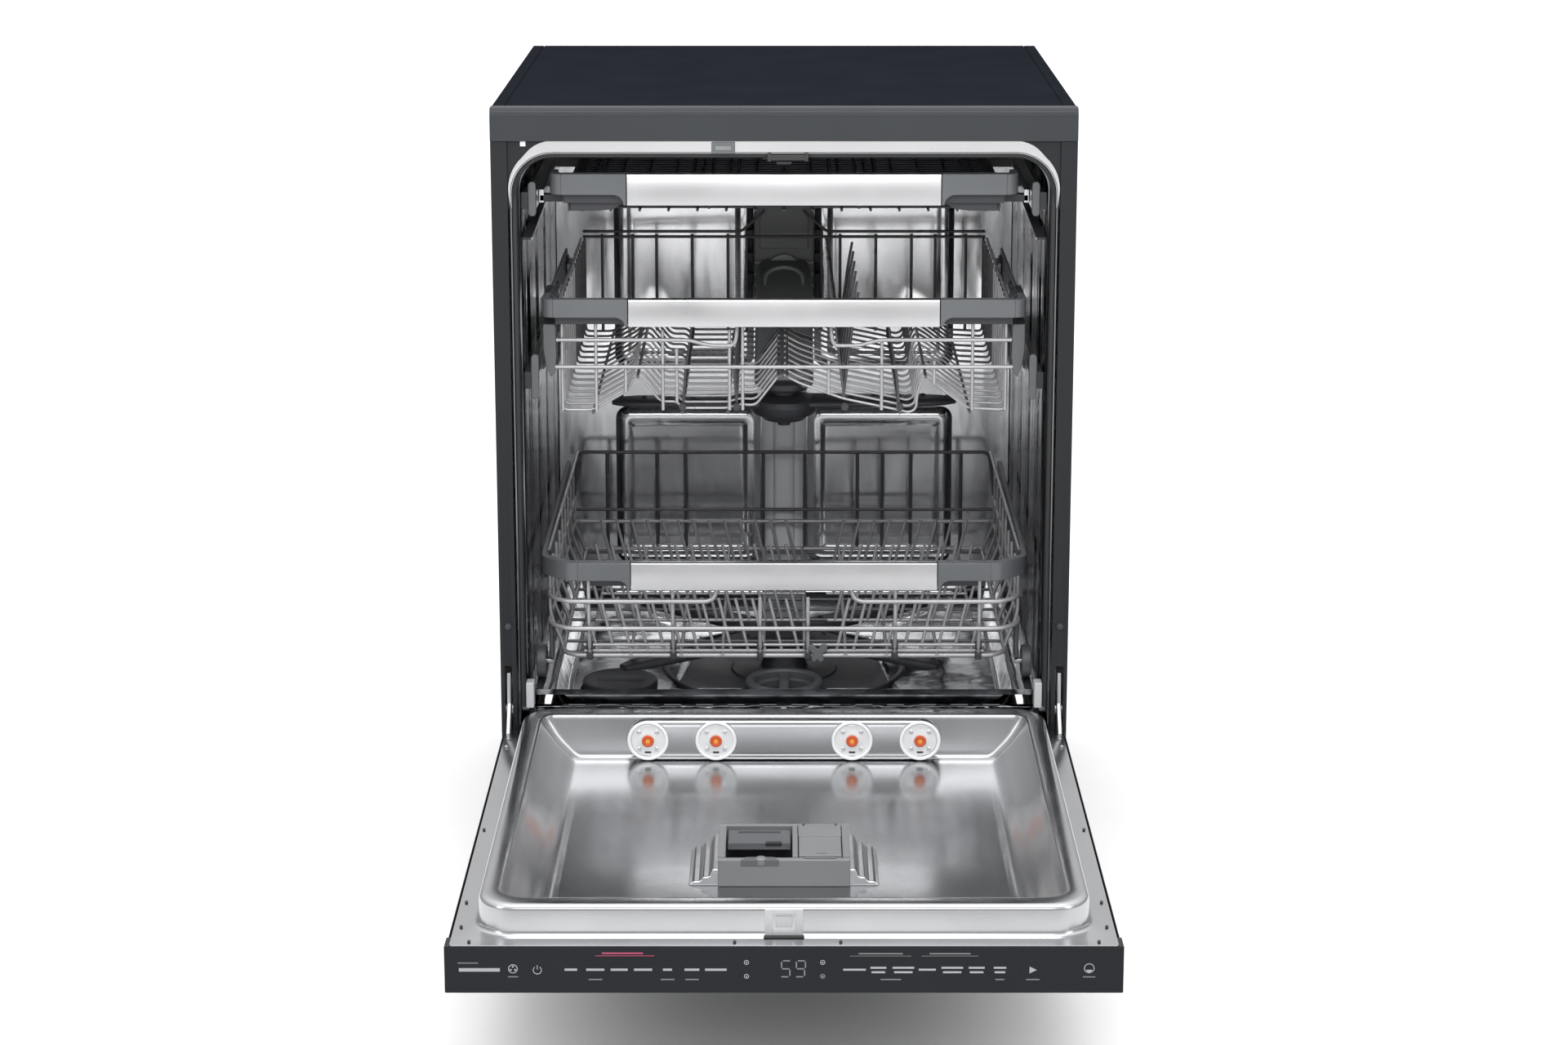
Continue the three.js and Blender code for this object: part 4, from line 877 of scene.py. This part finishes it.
def control_panel():
    lo, hi = span("control_panel")
    face = lo.y
    slab("panel_cap", (lo.x, lo.y, lo.z), (hi.x, hi.y, hi.z - 0.2), DOOR, GLOSS, 1.1, "control_panel", 3)
    middle = (lo.z + hi.z) / 2
    proud = 0.12

    def mark(name, x, z, wide, high, mat=PRINT):
        slab(name, (x - wide / 2, face - proud, z - high / 2), (x + wide / 2, face + 0.3, z + high / 2),
            DOOR, mat, 0.04)

    def ring(name, x, z, radius, mat=PRINT, thick=0.7):
        turned(name, [(radius - thick, face + 0.3), (radius, face + 0.3), (radius, face - proud),
            (radius - thick, face - proud)], (x, 0, z), DOOR, mat, "v", sides=32)

    # Programme keys: a short bar stands for each printed word.
    words = [(-187.5, 11), (-166, 16), (-145, 15), (-124, 16), (-102.5, 8), (-81, 13), (-60, 19)]
    for i, (x, wide) in enumerate(words):
        mark(f"programme_key_{i}", x, middle + 0.2, wide, 2.1)
    for i, x in enumerate((-166, -102.5, -81)):
        mark(f"programme_note_{i}", x, middle - 9, 12, 1.0, PRINT_DIM)
    mark("programme_line", -140, middle + 13.2, 52, 0.5, PINK)
    mark("programme_title", -142, middle + 15.6, 36, 1.3, PINK)
    options = [(62, 20), (83, 14), (105, 19), (126, 15), (148, 19), (169.5, 14), (190, 11)]
    for i, (x, wide) in enumerate(options):
        lines = 2 if i in (1, 2, 4, 5, 6) else 1
        for k in range(lines):
            mark(f"option_key_{i}_{k}", x, middle + (2.0 - 4.2 * k if lines == 2 else 0.2),
                wide * (1 - 0.15 * k), 1.8)
    for i, (x, wide) in enumerate(((85, 54), (146, 50))):
        mark(f"option_line_{i}", x, middle + 13.0, wide, 0.4, PRINT_DIM)
        mark(f"option_title_{i}", x, middle + 15.2, wide * 0.72, 1.1, PRINT_DIM)
    for i, (x, wide) in enumerate(((94, 18), (190, 8), (219, 12))):
        mark(f"option_note_{i}", x, middle - 9, wide, 1.0, PRINT_DIM)
    mark("left_legend", -268, middle, 36, 3.2)
    mark("left_legend_note", -278, middle + 6.4, 18, 0.9, PRINT_DIM)
    ring("left_icon", -238.5, middle + 1, 4.2)
    mark("left_icon_bar", -238.5, middle - 6.5, 9, 0.9, PRINT_DIM)
    for i, (x, z) in enumerate(((-238.5, 3), (-240.5, 0), (-236.5, 0))):
        mark(f"left_icon_dot_{i}", x, middle + z, 1.6, 1.6)
    for i, (x, z) in enumerate(((-33, 7), (-33, -6), (34, 7), (34, -6))):
        ring(f"state_icon_{i}", x, middle + z, 2.2, PRINT if i < 3 else PRINT_DIM, 0.6)
        mark(f"state_dot_{i}", x, middle + z - 0.2, 1.2, 1.2, PRINT)
    ring("connect_icon", 268.5, middle + 1.5, 4.6)
    mark("connect_base", 268.5, middle - 1.2, 5, 2.6)
    mark("connect_bar", 268.5, middle - 6.6, 11, 0.9, PRINT_DIM)

    # The two-digit time display, slanted a little as such displays are.
    high, wide, stroke, slant = 15.0, 8.0, 1.1, 0.1
    for cx, digit in ((1.5, "5"), (14.5, "9")):
        half_w, half_h = wide / 2, high / 2
        bars = {"a": (0, half_h, True), "g": (0, 0, True), "d": (0, -half_h, True),
            "f": (-half_w, half_h / 2, False), "b": (half_w, half_h / 2, False),
            "e": (-half_w, -half_h / 2, False), "c": (half_w, -half_h / 2, False)}
        for key in SEGMENTS[digit]:
            bx, bz, flat = bars[key]
            w, h = (wide - 1.8, stroke) if flat else (stroke, half_h - 1.8)
            mark(f"digit_{digit}_{key}", cx + bx + slant * bz, middle + bz + 1, w, h, PRINT_DIM)

    # Keys that travel.
    body = "power_button"
    lo_k, hi_k = span(body)
    x, _, z = middle_of(body)
    disc("power_key", (hi_k.x - lo_k.x) / 2, lo_k.y - 0.25, hi_k.y, (x, 0, z), body, GLOSS, "v", body, 0.5,
        48)
    key_face = lo_k.y - 0.3
    symbol = arc(x, z - 0.2, 3.6, 125, 415, 20)
    wires("power_symbol", [[(px, key_face, pz) for px, pz in symbol],
        [(x, key_face, z + 0.6), (x, key_face, z + 4.6)]], 0.75, body, PRINT, bend=0)
    body = "start_button"
    lo_k, hi_k = span(body)
    slab("start_key", (lo_k.x, lo_k.y - 0.25, lo_k.z), tuple(hi_k), body, GLOSS, 0.7, body, 3)
    x, _, z = middle_of(body)
    triangle = [(x - 3, z - 3.2), (x + 3.4, z), (x - 3, z + 3.2)]
    prism("start_symbol", triangle, "v", lo_k.y - 0.4, lo_k.y, body, PRINT, 0.1)


# ---------------------------------------------------------------- racks
GRIP = 163  # half width of each handle's steel band


def mirror(path):
    return [(-x, v, z) for x, v, z in path]


def band(name, body, replaces, low, high, lift, core_half, front):
    """The steel band of a handle, and the dark core behind it."""
    face = [(front, low), (front + 9, low), (front + 9, high), (front + 2.2, high),
        (front + 0.6, high - 0.5), (front, high - 2)]
    prism(f"{name}_band", face, "x", -GRIP + 0.8, GRIP - 0.8, body, BAND_STEEL, 0.35, replaces)
    back = [(front + 9.2, low + lift), (front + 13, low + lift + 2), (front + 13, high - 0.6),
        (front + 9.2, high - 0.2)]
    prism(f"{name}_core", back, "x", -core_half, core_half, body, DARK, 0.5)


def cap_face(sign, low, high, rise, curl, shoulder, end):
    """The outline of a band's end cap, whose lower edge curls up to its shoulder."""
    edge = [(GRIP + 3 + curl * (1 - math.cos(t)), low + rise * math.sin(t)) for t in (0.35, 0.7, 1.05, 1.4)]
    line = [(GRIP, low), (GRIP + 3, low), *edge, (GRIP + shoulder, low + rise), (end, low + rise),
        (end, high), (GRIP, high)]
    return [(sign * x, z) for x, z in line]


def handle(name, body, replaces, low, high, sweep):
    """A steel band between grey end caps. sweep is how far the caps run back."""
    lo, hi = span(replaces)
    half, front, bend = hi.x, lo.y, 12.4
    band(name, body, replaces, low, high, 1, half - 14, front)
    rise = (high - low) * 0.33
    for side, sign in SIDES:
        face = cap_face(sign, low, high, rise, 11, 20, half - 12)
        prism(f"{name}_cap_{side}", face, "v", front - 0.4, front + 12, body, GREY, 1.1)
        curve = [(half - bend + bend * math.sin(t), front - 0.4 + bend * (1 - math.cos(t)))
            for t in (0.3, 0.6, 0.9, 1.2, 1.57)]
        turn = [(sign * x, v) for x, v in ((half - bend, front - 0.4), *curve, (half, front + sweep),
            (half - 8, front + sweep), (half - 8, front + 13.6), (half - bend, front + 11.6))]
        prism(f"{name}_turn_{side}", turn, "z", low + rise, high, body, GREY, 1.1)


def slide_rail(sign, node, body, stop_z):
    """The moving member, its fixed channel, and an end cap and stop at the front of it."""
    lo, hi = span(node)
    inner, outer = sorted((abs(lo.x), abs(hi.x)))
    z, depth, half = (lo.z + hi.z) / 2, (outer - inner) * 0.55, (hi.z - lo.z) / 2
    lip, web, wall = 1.6, 1.8, 271.6
    shape = [(0, -half), (depth, -half), (depth, -half + lip), (web, -half + lip), (web, half - lip),
        (depth, half - lip), (depth, half), (0, half)]
    outline = [(sign * (inner + a), z + b) for a, b in shape]
    prism(f"{node}_slide", outline, "v", lo.y, hi.y, body, RAIL_STEEL, 0.5, node)
    fixed = [(sign * (wall - a), z + b) for a, b in ((0, -5.5), (5.5, -5.5), (5.5, 5.5), (0, 5.5))]
    prism(f"{node}_channel", fixed, "v", lo.y + 6, hi.y + 20, CAB, ZINC, 0.6)
    cap = side_box(sign, inner, lo.y - 1.6, z - half, outer, lo.y + 0.4, z + half)
    slab(f"{node}_end", *cap, body, DARK, 0.5)
    x = sign * 260.3
    capsule = rounded_rect(x - 4, x + 4, *stop_z, 3.9, steps=6)
    prism(f"{node}_stop", capsule, "v", lo.y - 4, lo.y + 3, body, GREY, 1.2)


def tray_rack():
    body = "top_rack"
    handle("tray_handle", body, "top_rack_handle", 745, 778, 34)
    half, v0, v1, floor = 226, 43, 470, 735.5
    lip = [(-half + 4, 737), (-GRIP - 30, 737), (-GRIP - 14, 739), (-GRIP - 4, 745), (GRIP + 4, 745),
        (GRIP + 14, 739), (GRIP + 30, 737), (half - 4, 737), (half - 4, 762), (-half + 4, 762)]
    prism("tray_front_lip", lip, "v", v0 + 1, v0 + 3.6, body, DARK, 0.7, "cutlery_tray")
    for side, sign in SIDES:
        wall = [(sign * (half - inset), floor + up) for inset, up in ((0, 26), (2.2, 26), (4, 2), (1.8, 0))]
        prism(f"tray_side_{side}", wall, "v", v0 + 2, v1, body, DARK, 0.5)
        slab(f"tray_hanger_{side}", *side_box(sign, half, 60, 744, 255.5, 72, 752), body, DARK, 1.2)
        slab(f"tray_runner_{side}", *side_box(sign, 250, 60, 743, 255.6, 448, 757), body, RAIL_STEEL, 0.8)
        for i, v in enumerate((150, 290, 430)):
            slab(f"tray_bracket_{side}_{i}", *side_box(sign, half - 1, v, 746, 251, v + 10, 756), body, DARK,
                0.8)
    slab("tray_rear_wall", (-half + 2, v1 - 3, floor), (half - 2, v1, floor + 24), body, DARK, 0.5)
    long = [[(x, v0 + 3, floor + 2), (x, v1 - 2, floor + 2)] for x in range(-210, 211, 30)]
    cross = [[(-half + 3, v, floor + 3.6), (half - 3, v, floor + 3.6)] for v in range(58, 466, 17)]
    wires("tray_floor_wires", long + cross, 3.0, body, DARK, bend=0)
    for x in (-78, 78):
        slab(f"tray_divider_{x}", (x - 1, v0 + 4, floor + 3), (x + 1, v1 - 3, floor + 22), body, DARK, 0.4)
    teeth = [[(x, v, floor + 4), (x, v, floor + 16)] for v in range(66, 460, 18)
        for x in (-200, -100, -50, 50, 100, 200)]
    wires("tray_teeth", teeth, 3.0, body, DARK, bend=0)


# The lower edge of the upper rack's cross wires, as (across, height), left and right of the centre.
UPPER_FLOOR = ([(-233, 640), (-233, 523), (-201, 523), (-166, 543), (-158, 557), (-150, 557), (-130, 532),
    (-113, 532), (-107, 525), (-59, 525), (-48, 529), (-30, 528), (-5, 561)],
    [(0, 561), (16, 552), (63, 535), (122, 522.7), (132, 520), (139, 524), (141, 544), (147, 558),
    (158, 552), (193.5, 525), (233, 523), (233, 640)],)


def upper_rack():
    body = "upper_rack"
    lo, hi = span("upper_rack_basket")
    half, v0, v1 = hi.x - 1.5, lo.y + 2, hi.y - 3
    handle("upper_handle", body, "upper_rack_handle", 617, 646, 40)
    dip = [(-238.5, v0, 600), (-100, v0, 600), (-78, v0, 594), (-53, v0, 594), (-50, v0, 602),
        (-49, v0 + 4, 617)]
    front = [dip, mirror(dip), [(-240, v0, 571), (240, v0, 571)]]
    posts = [[(x, v0 + 3.2, top), (x, v0 + 3.2, low)] for x, top,
        low in ((-197.5, 617, 523), (-166.4, 577, 543), (-127.4, 610, 524), (-112.7, 590, 532),
        (-57.3, 610, 524), (-43.5, 617, 524), (47, 577, 541), (102.7, 598, 524), (158, 577, 552),
        (198, 617, 524), (-233, 640, 524), (233, 640, 524))]
    wires("upper_front_wires", front, 4.2, body, WIRE, bend=7, replaces="upper_rack_basket")
    wires("upper_front_posts", posts, 3.6, body, WIRE, bend=0)

    # Cross wires: the front eight in the plain wire colour, the rear seven with painted shade.
    cross, rear = [], []
    for i in range(15):
        v = v0 + 8 + i * 28
        sink = 0.012 * (v - v0)
        for shape in UPPER_FLOOR:
            line = [(x, v, z + (sink if 515 < z < 600 else 0)) for x, z in shape]
            (cross if i < 8 else rear).append(line)
    wires("upper_cross_wires_front", cross, 2.8, body, WIRE, bend=6)
    wires("upper_cross_wires_rear", rear, 2.8, body, WIRE_PAINTED_SHADE, bend=6)
    runners = [[(x, v0 + 2, 521), (x, v1, 523)] for x in (-201, -107, -59, 122, 196)]
    runners += [[(x, v0 + 2, 560), (x, v1, 562)] for x in (-154, -6, 3, 149)]
    wires("upper_runners", runners, 3.4, body, WIRE_PAINTED_SHADE, bend=0)
    sides = [[(x, v0 + 2, z), (x, v1, z)] for x in (-238.5, 238.5) for z in (571, 600, 634)]
    wires("upper_side_wires", sides, 3.8, body, WIRE, bend=0)
    back = [[(-half, v1 - 2, 637), (half, v1 - 2, 637)]]
    ramp = [(-half, v1, 643), (-50, v1, 643), (-22, v1, 668)]
    back += [ramp, mirror(ramp)]
    back += [[(x, v1, 640), (x, v1, 524)] for x in (-214, -178, -150, -108, -66, -44, 44, 66, 108, 150, 178,
        214)]
    wires("upper_back_wires", back, 3.6, body, WIRE_PAINTED_SHADE, bend=5)
    tines = []
    for i in range(13):
        v = v0 + 26 + i * 31
        lean = 10 if i % 2 else -10
        tines += [[(64, v, 532), (64 + lean, v, 612), (64 + lean * 1.5, v, 640)],
            [(-107, v, 526), (-104, v + 8, 566)], [(-50, v, 526), (-53, v + 6, 560)],
            [(122, v, 524), (119, v + 8, 560)]]
    wires("upper_tines", tines, 3.0, body, WIRE_PAINTED_SHADE, bend=10)
    plugs = [[(x, v0 + 2.5, 527), (x, v0 + 9, 527)] for x in (-107, -50, 64, 122)]
    wires("upper_clips", plugs, 8.0, body, DARK, bend=0)

    lo, hi = span("upper_feed_duct")
    stages = [(9, lo.y), (3, lo.y + 4), (0, lo.y + 14), (0, 466), (3, hi.y)]
    loops = []
    for inset, v in stages:
        t = 0 if v < 300 else (v - 300) / (hi.y - 300)
        low, high = 504 + 34 * t, 526 + 80 * t
        wide = 33 - inset
        loops.append([at(x, v, z) for x, z in rounded_rect(-wide, wide, low + inset * 0.4,
            high - inset * 0.4, 8, steps=4)])
    loft("feed_duct_cover", loops, body, MID_GREY, 0, "upper_feed_duct", angle=50)
    slope = (606 - 526) / (hi.y - 300)
    mouth = [(-22, 372), (-22, 440), *arc(0, 446, 22, 180, 0, 10), (22, 440), (22, 372)]
    wires("feed_duct_arch", [[(x, v, 527.5 + slope * (v - 300)) for x, v in mouth]], 5, body, PALE, bend=0)
    turned("feed_duct_collar", [(12, 502.7), (26, 502.7), (28, 505), (28, 511), (24, 514), (12, 514)],
        (0, 250, 0), body, DARK)
    for side, sign in SIDES:
        node = f"height_adjuster_{side}"
        lo, hi = span(node)
        inner, outer = sorted((abs(lo.x), abs(hi.x)))
        plate = [(lo.y, hi.z), (hi.y, hi.z), (hi.y, lo.z + 14), (hi.y - 14, lo.z), (lo.y + 26, lo.z),
            (lo.y + 8, lo.z + 14), (lo.y, lo.z + 40)]
        prism(f"{node}_plate", plate, "x", *across(sign, inner + 6, inner + 9), "upper_carriage", GREY, 1.0,
            node)
        slab(f"{node}_carrier", *side_box(sign, inner + 8, lo.y + 8, 553, outer - 0.4, hi.y - 8, 567),
            "upper_carriage", DARK, 1.2)
        for i, v in enumerate((150, 312)):
            slab(f"{node}_post_{i}", *side_box(sign, inner + 3, v, 560, inner + 7, v + 18, 640),
                "upper_carriage", DARK, 1.2)
            slab(f"{node}_lever_{i}", *side_box(sign, inner + 0.4, v - 8, 618, inner + 4.5, v + 30, 634),
                "upper_carriage", PALE, 1.4)
        lip = [(sign * x, z) for x, z in ((252.6, 617), (252.6, 590), (250, 572), (244.5, 560), (240, 566),
            (238.8, 584), (239.5, 617))]
        prism(f"upper_end_plate_{side}", lip, "v", 44, 72, body, GREY, 1.2)
        edge = [(sign * x, z) for x, z in ((252.6, 617), (241, 617), (240, 640), (246, 646), (252.6, 646))]
        prism(f"upper_edge_rail_{side}", edge, "v", 70, 112, body, DARK, 1.0)


def upper_arm():
    body = "upper_spray_arm"
    lo, hi = span(body)
    v, length = 250, 192
    for i, angle in enumerate((1, 181)):
        blade(f"upper_arm_blade_{i}", length, 27, 18, 482, 494, angle, (0, v), body, DARK)
        nozzles(f"upper_arm_nozzle_{i}", length, angle, (0, v), 493.5, body, 6)
    profile = [(0, hi.z), (14, hi.z), (16, hi.z - 2), (16, 497), (24, 496), (36, 492), (39, 486), (38, 483),
        (36, 478), (34, 475), (26, 472), (25, 470), (23, lo.z + 7), (8, lo.z + 6), (7, lo.z), (0, lo.z)]
    turned("upper_arm_hub", profile, (0, v, 0), body, DARK, replaces=body)


def lower_rack():
    body = "lower_rack"
    lo, hi = span("lower_rack_rim")
    half, front, back = hi.x, lo.y, hi.y
    low, high, rise, end = 332, 362, 10, 219
    band("rim", body, "lower_rack_rim", low, high, 2, 214, front)
    for side, sign in SIDES:
        face = cap_face(sign, low, high, rise, 10, 18, end)
        prism(f"rim_cap_{side}", face, "v", front - 0.4, front + 12, body, GREY, 1.0)
        line = [(sign * x, v) for x, v in ((218.6, front - 0.4), (224, front - 0.3), (232, front + 3),
            (half - 6, front + 24), (half - 1.4, front + 31), (half, front + 40), (half, front + 66),
            (half - 5, front + 66), (half - 5, front + 42), (half - 8, front + 35), (232, front + 15),
            (224, front + 11.6), (218.6, front + 11.6))]
        prism(f"rim_corner_{side}", line, "z", low + rise, high, body, GREY, 1.0)
        strip = [(front + 60, low + 12), (front + 66, high), (back - 8, high + 2), (back - 2, high),
            (back - 2, high - 10), (front + 120, low + 14)]
        prism(f"rim_side_{side}", strip, "x", *across(sign, half - 4.4, half), body, GREY, 1.0)

    def around(z, inset, corner):
        outline = rounded_rect(-252 + inset, 252 - inset, 34 + inset, 476, 10, corner, steps=7)
        return [(x, v, z) for x, v in outline]

    wires("lower_rings", [around(288, 0, 34)], 5.2, body, WIRE, bend=0, replaces="lower_rack_basket",
        closed=True)
    wires("lower_bottom_ring", [around(254, 14, 26)], 5.4, body, WIRE, bend=0, closed=True)
    high_ring = around(318, 0, 34)
    start = [(-252, 300, 318), *high_ring[:8], (-82, 34, 318), (-75, 34.5, 321), (-71, 35, 331)]
    run = [(-252, 476, 318), (-252, 300, 318)]
    wires("lower_top_wires", [start, mirror(start), run, mirror(run)], 5.2, body, WIRE, bend=5)
    thin = [[(-214, v, z), (214, v, z)] for v, z in ((46, 266.5), (50, 258.5))]
    wires("lower_thin_wires", thin, 3.4, body, WIRE, bend=0)

    posts = [[(s * x, 37, top), (s * x, 37, 296), (s * x, 46, 258), (s * x, 49, 252)] for x,
        top in ((-208, 344), (-118.5, 330), (-25.5, 322)) for s in (1, -1)]
    wires("lower_front_posts", posts, 4.2, body, WIRE, bend=8)
    clips = [(x, 45, z) for x in (-208, -118.5, -25.5, 25.5, 118.5, 208) for z in (255, 266)]
    for i, (x, v, z) in enumerate(clips):
        slab(f"lower_clip_{i}", (x - 3.6, v - 2, z - 5), (x + 3.6, v + 6, z + 4), body, DARK, 1.6)
    clip = [(36, 262), (41, 268), (47, 267), (46, 261), (41, 257), (43, 250), (39, 247), (36, 251),
        (33, 247), (29, 250), (31, 257), (26, 261), (25, 267), (31, 268)]
    prism("lower_row_clip", clip, "v", 42, 48, body, GREY, 1.4)

    sides = [[(s * 252, v, 346), (s * 252, v, 292), (s * 240, v, 262), (s * 238, v, 254)] for s in (-1, 1)
        for v in range(76, 461, 48)]
    wires("lower_side_posts", sides, 4.2, body, WIRE, bend=10)
    # The floor's cross wires and the back wires carry painted shade.
    cross = [[(-236, v, 252), (236, v, 252)] for v in range(66, 467, 40)]
    long = [[(s * x, 44, 255.4), (s * x, 476, 255.4)] for s in (-1, 1) for x in (22, 66, 110, 164, 208)]
    wires("lower_floor_cross", cross, 3.6, body, WIRE_PAINTED_SHADE, bend=0)
    wires("lower_floor_long", long, 3.8, body, WIRE, bend=0)
    back_wires = [[(-252, 476, 318), (-246, 478, 373), (246, 478, 373), (252, 476, 318)],
        [(-250, 478, 302), (250, 478, 302)]]
    back_wires += [[(x, 479, 373), (x, 479, 256)] for x in (-212, -152, -118, -25, 25, 88, 118, 152, 212)]
    wires("lower_back_wires", back_wires, 4.4, body, WIRE_PAINTED_SHADE, bend=10)
    edge = [[(s * 247, 478, 373), (s * 254, 100, 358)] for s in (-1, 1)]
    wires("lower_edge_wires", edge, 3.6, body, WIRE, bend=0)

    # Rows of tines across the rack. The second one folds back about its foot.
    halves = (("left", -1, [-200 + 18 * i for i in range(13)]),
        ("right", 1, [56 + 18 * i for i in range(9)]))
    for side, sign, places in halves:
        fixed = []
        for v in (50, 266, 374):
            fixed += [[(x, v, 258), (x + sign * 14, v, 317)] for x in places]
            fixed.append([(places[0] - 8, v, 259), (places[-1] + 8, v, 259)])
        wires(f"lower_fixed_tines_{side}", fixed, 3.6, body, WIRE, bend=0)
        node = f"tine_row_{side}"
        lo, hi = span(node)
        v = (lo.y + hi.y) / 2
        row = [[(places[0] - 8, v, lo.z + 2), (places[-1] + 8, v, lo.z + 2)]]
        row += [[(x, v, lo.z + 2), (x + sign * 14, v, hi.z - 1)] for x in places]
        wires(f"{node}_wires", row, 3.8, node, WIRE, bend=0, replaces=node)
    for end in ("front", "rear"):
        for side, sign in SIDES:
            node = f"wheel_{end}_{side}"
            lo, hi = span(node)
            (_, v, z), radius = middle_of(node), (hi.y - lo.y) / 2
            a, b = sorted((abs(lo.x), abs(hi.x)))
            half = [(3.4, 0.6), (7, 0.6), (8, 3), (radius - 4, 3), (radius - 3.4, 0), (radius - 0.8, 0),
                (radius, 1)]
            profile = [(r, sign * (a + x)) for r, x in half] + [(r, sign * (b - x)) for r,
                x in reversed(half)]
            turned(f"{node}_tyre", profile, (0, v, z), node, GREY, "x", node, 40)
            for k, (dv, dz) in enumerate(on_circle(5, 10.5)):
                disc(f"{node}_spoke_{k}", 1.9, *across(sign, a + 2, b - 2), (0, v + dv, z + dz), node, DARK,
                    "x", edge=0.3, sides=10)
            disc(f"{node}_axle", 3.2, *across(sign, 250, a + 2), (0, v, z), body, ZINC, "x", edge=0.4,
                sides=16)
            slab(f"{node}_holder", *side_box(sign, 249, v - 9, 240, 254, v + 9, 292), body, GREY, 1.6)


def rails():
    for side, sign in SIDES:
        slide_rail(sign, f"top_rail_{side}", "top_rails", (734, 770))
        slide_rail(sign, f"upper_rail_{side}", "upper_rails", (540, 588))
    for side, sign in SIDES:
        strip = [(37, 707.8), (375, 718.8), (375, 721.2), (37, 710.2)]
        prism(f"wall_strip_{side}", strip, "x", *across(sign, 262.4, 271.8), CAB, DARK, 0.3)
        prism(f"wall_strip_edge_{side}", strip, "x", *across(sign, 261.4, 262.3), CAB, RAIL_STEEL, 0.2)


for make in (worktop, side_panels, tub, tub_back, tub_floor, sump_and_filter, salt_cap, lower_arm, ducts,
        latch_strike, base_and_back, machinery, outer_panel, inner_liner, pedestal, dispenser, nozzle_bar,
        latch_plate, hinge_arms, flange_screws, control_panel, tray_rack, upper_rack, upper_arm, lower_rack,
        rails):
    make()

bpy.context.view_layer.update()
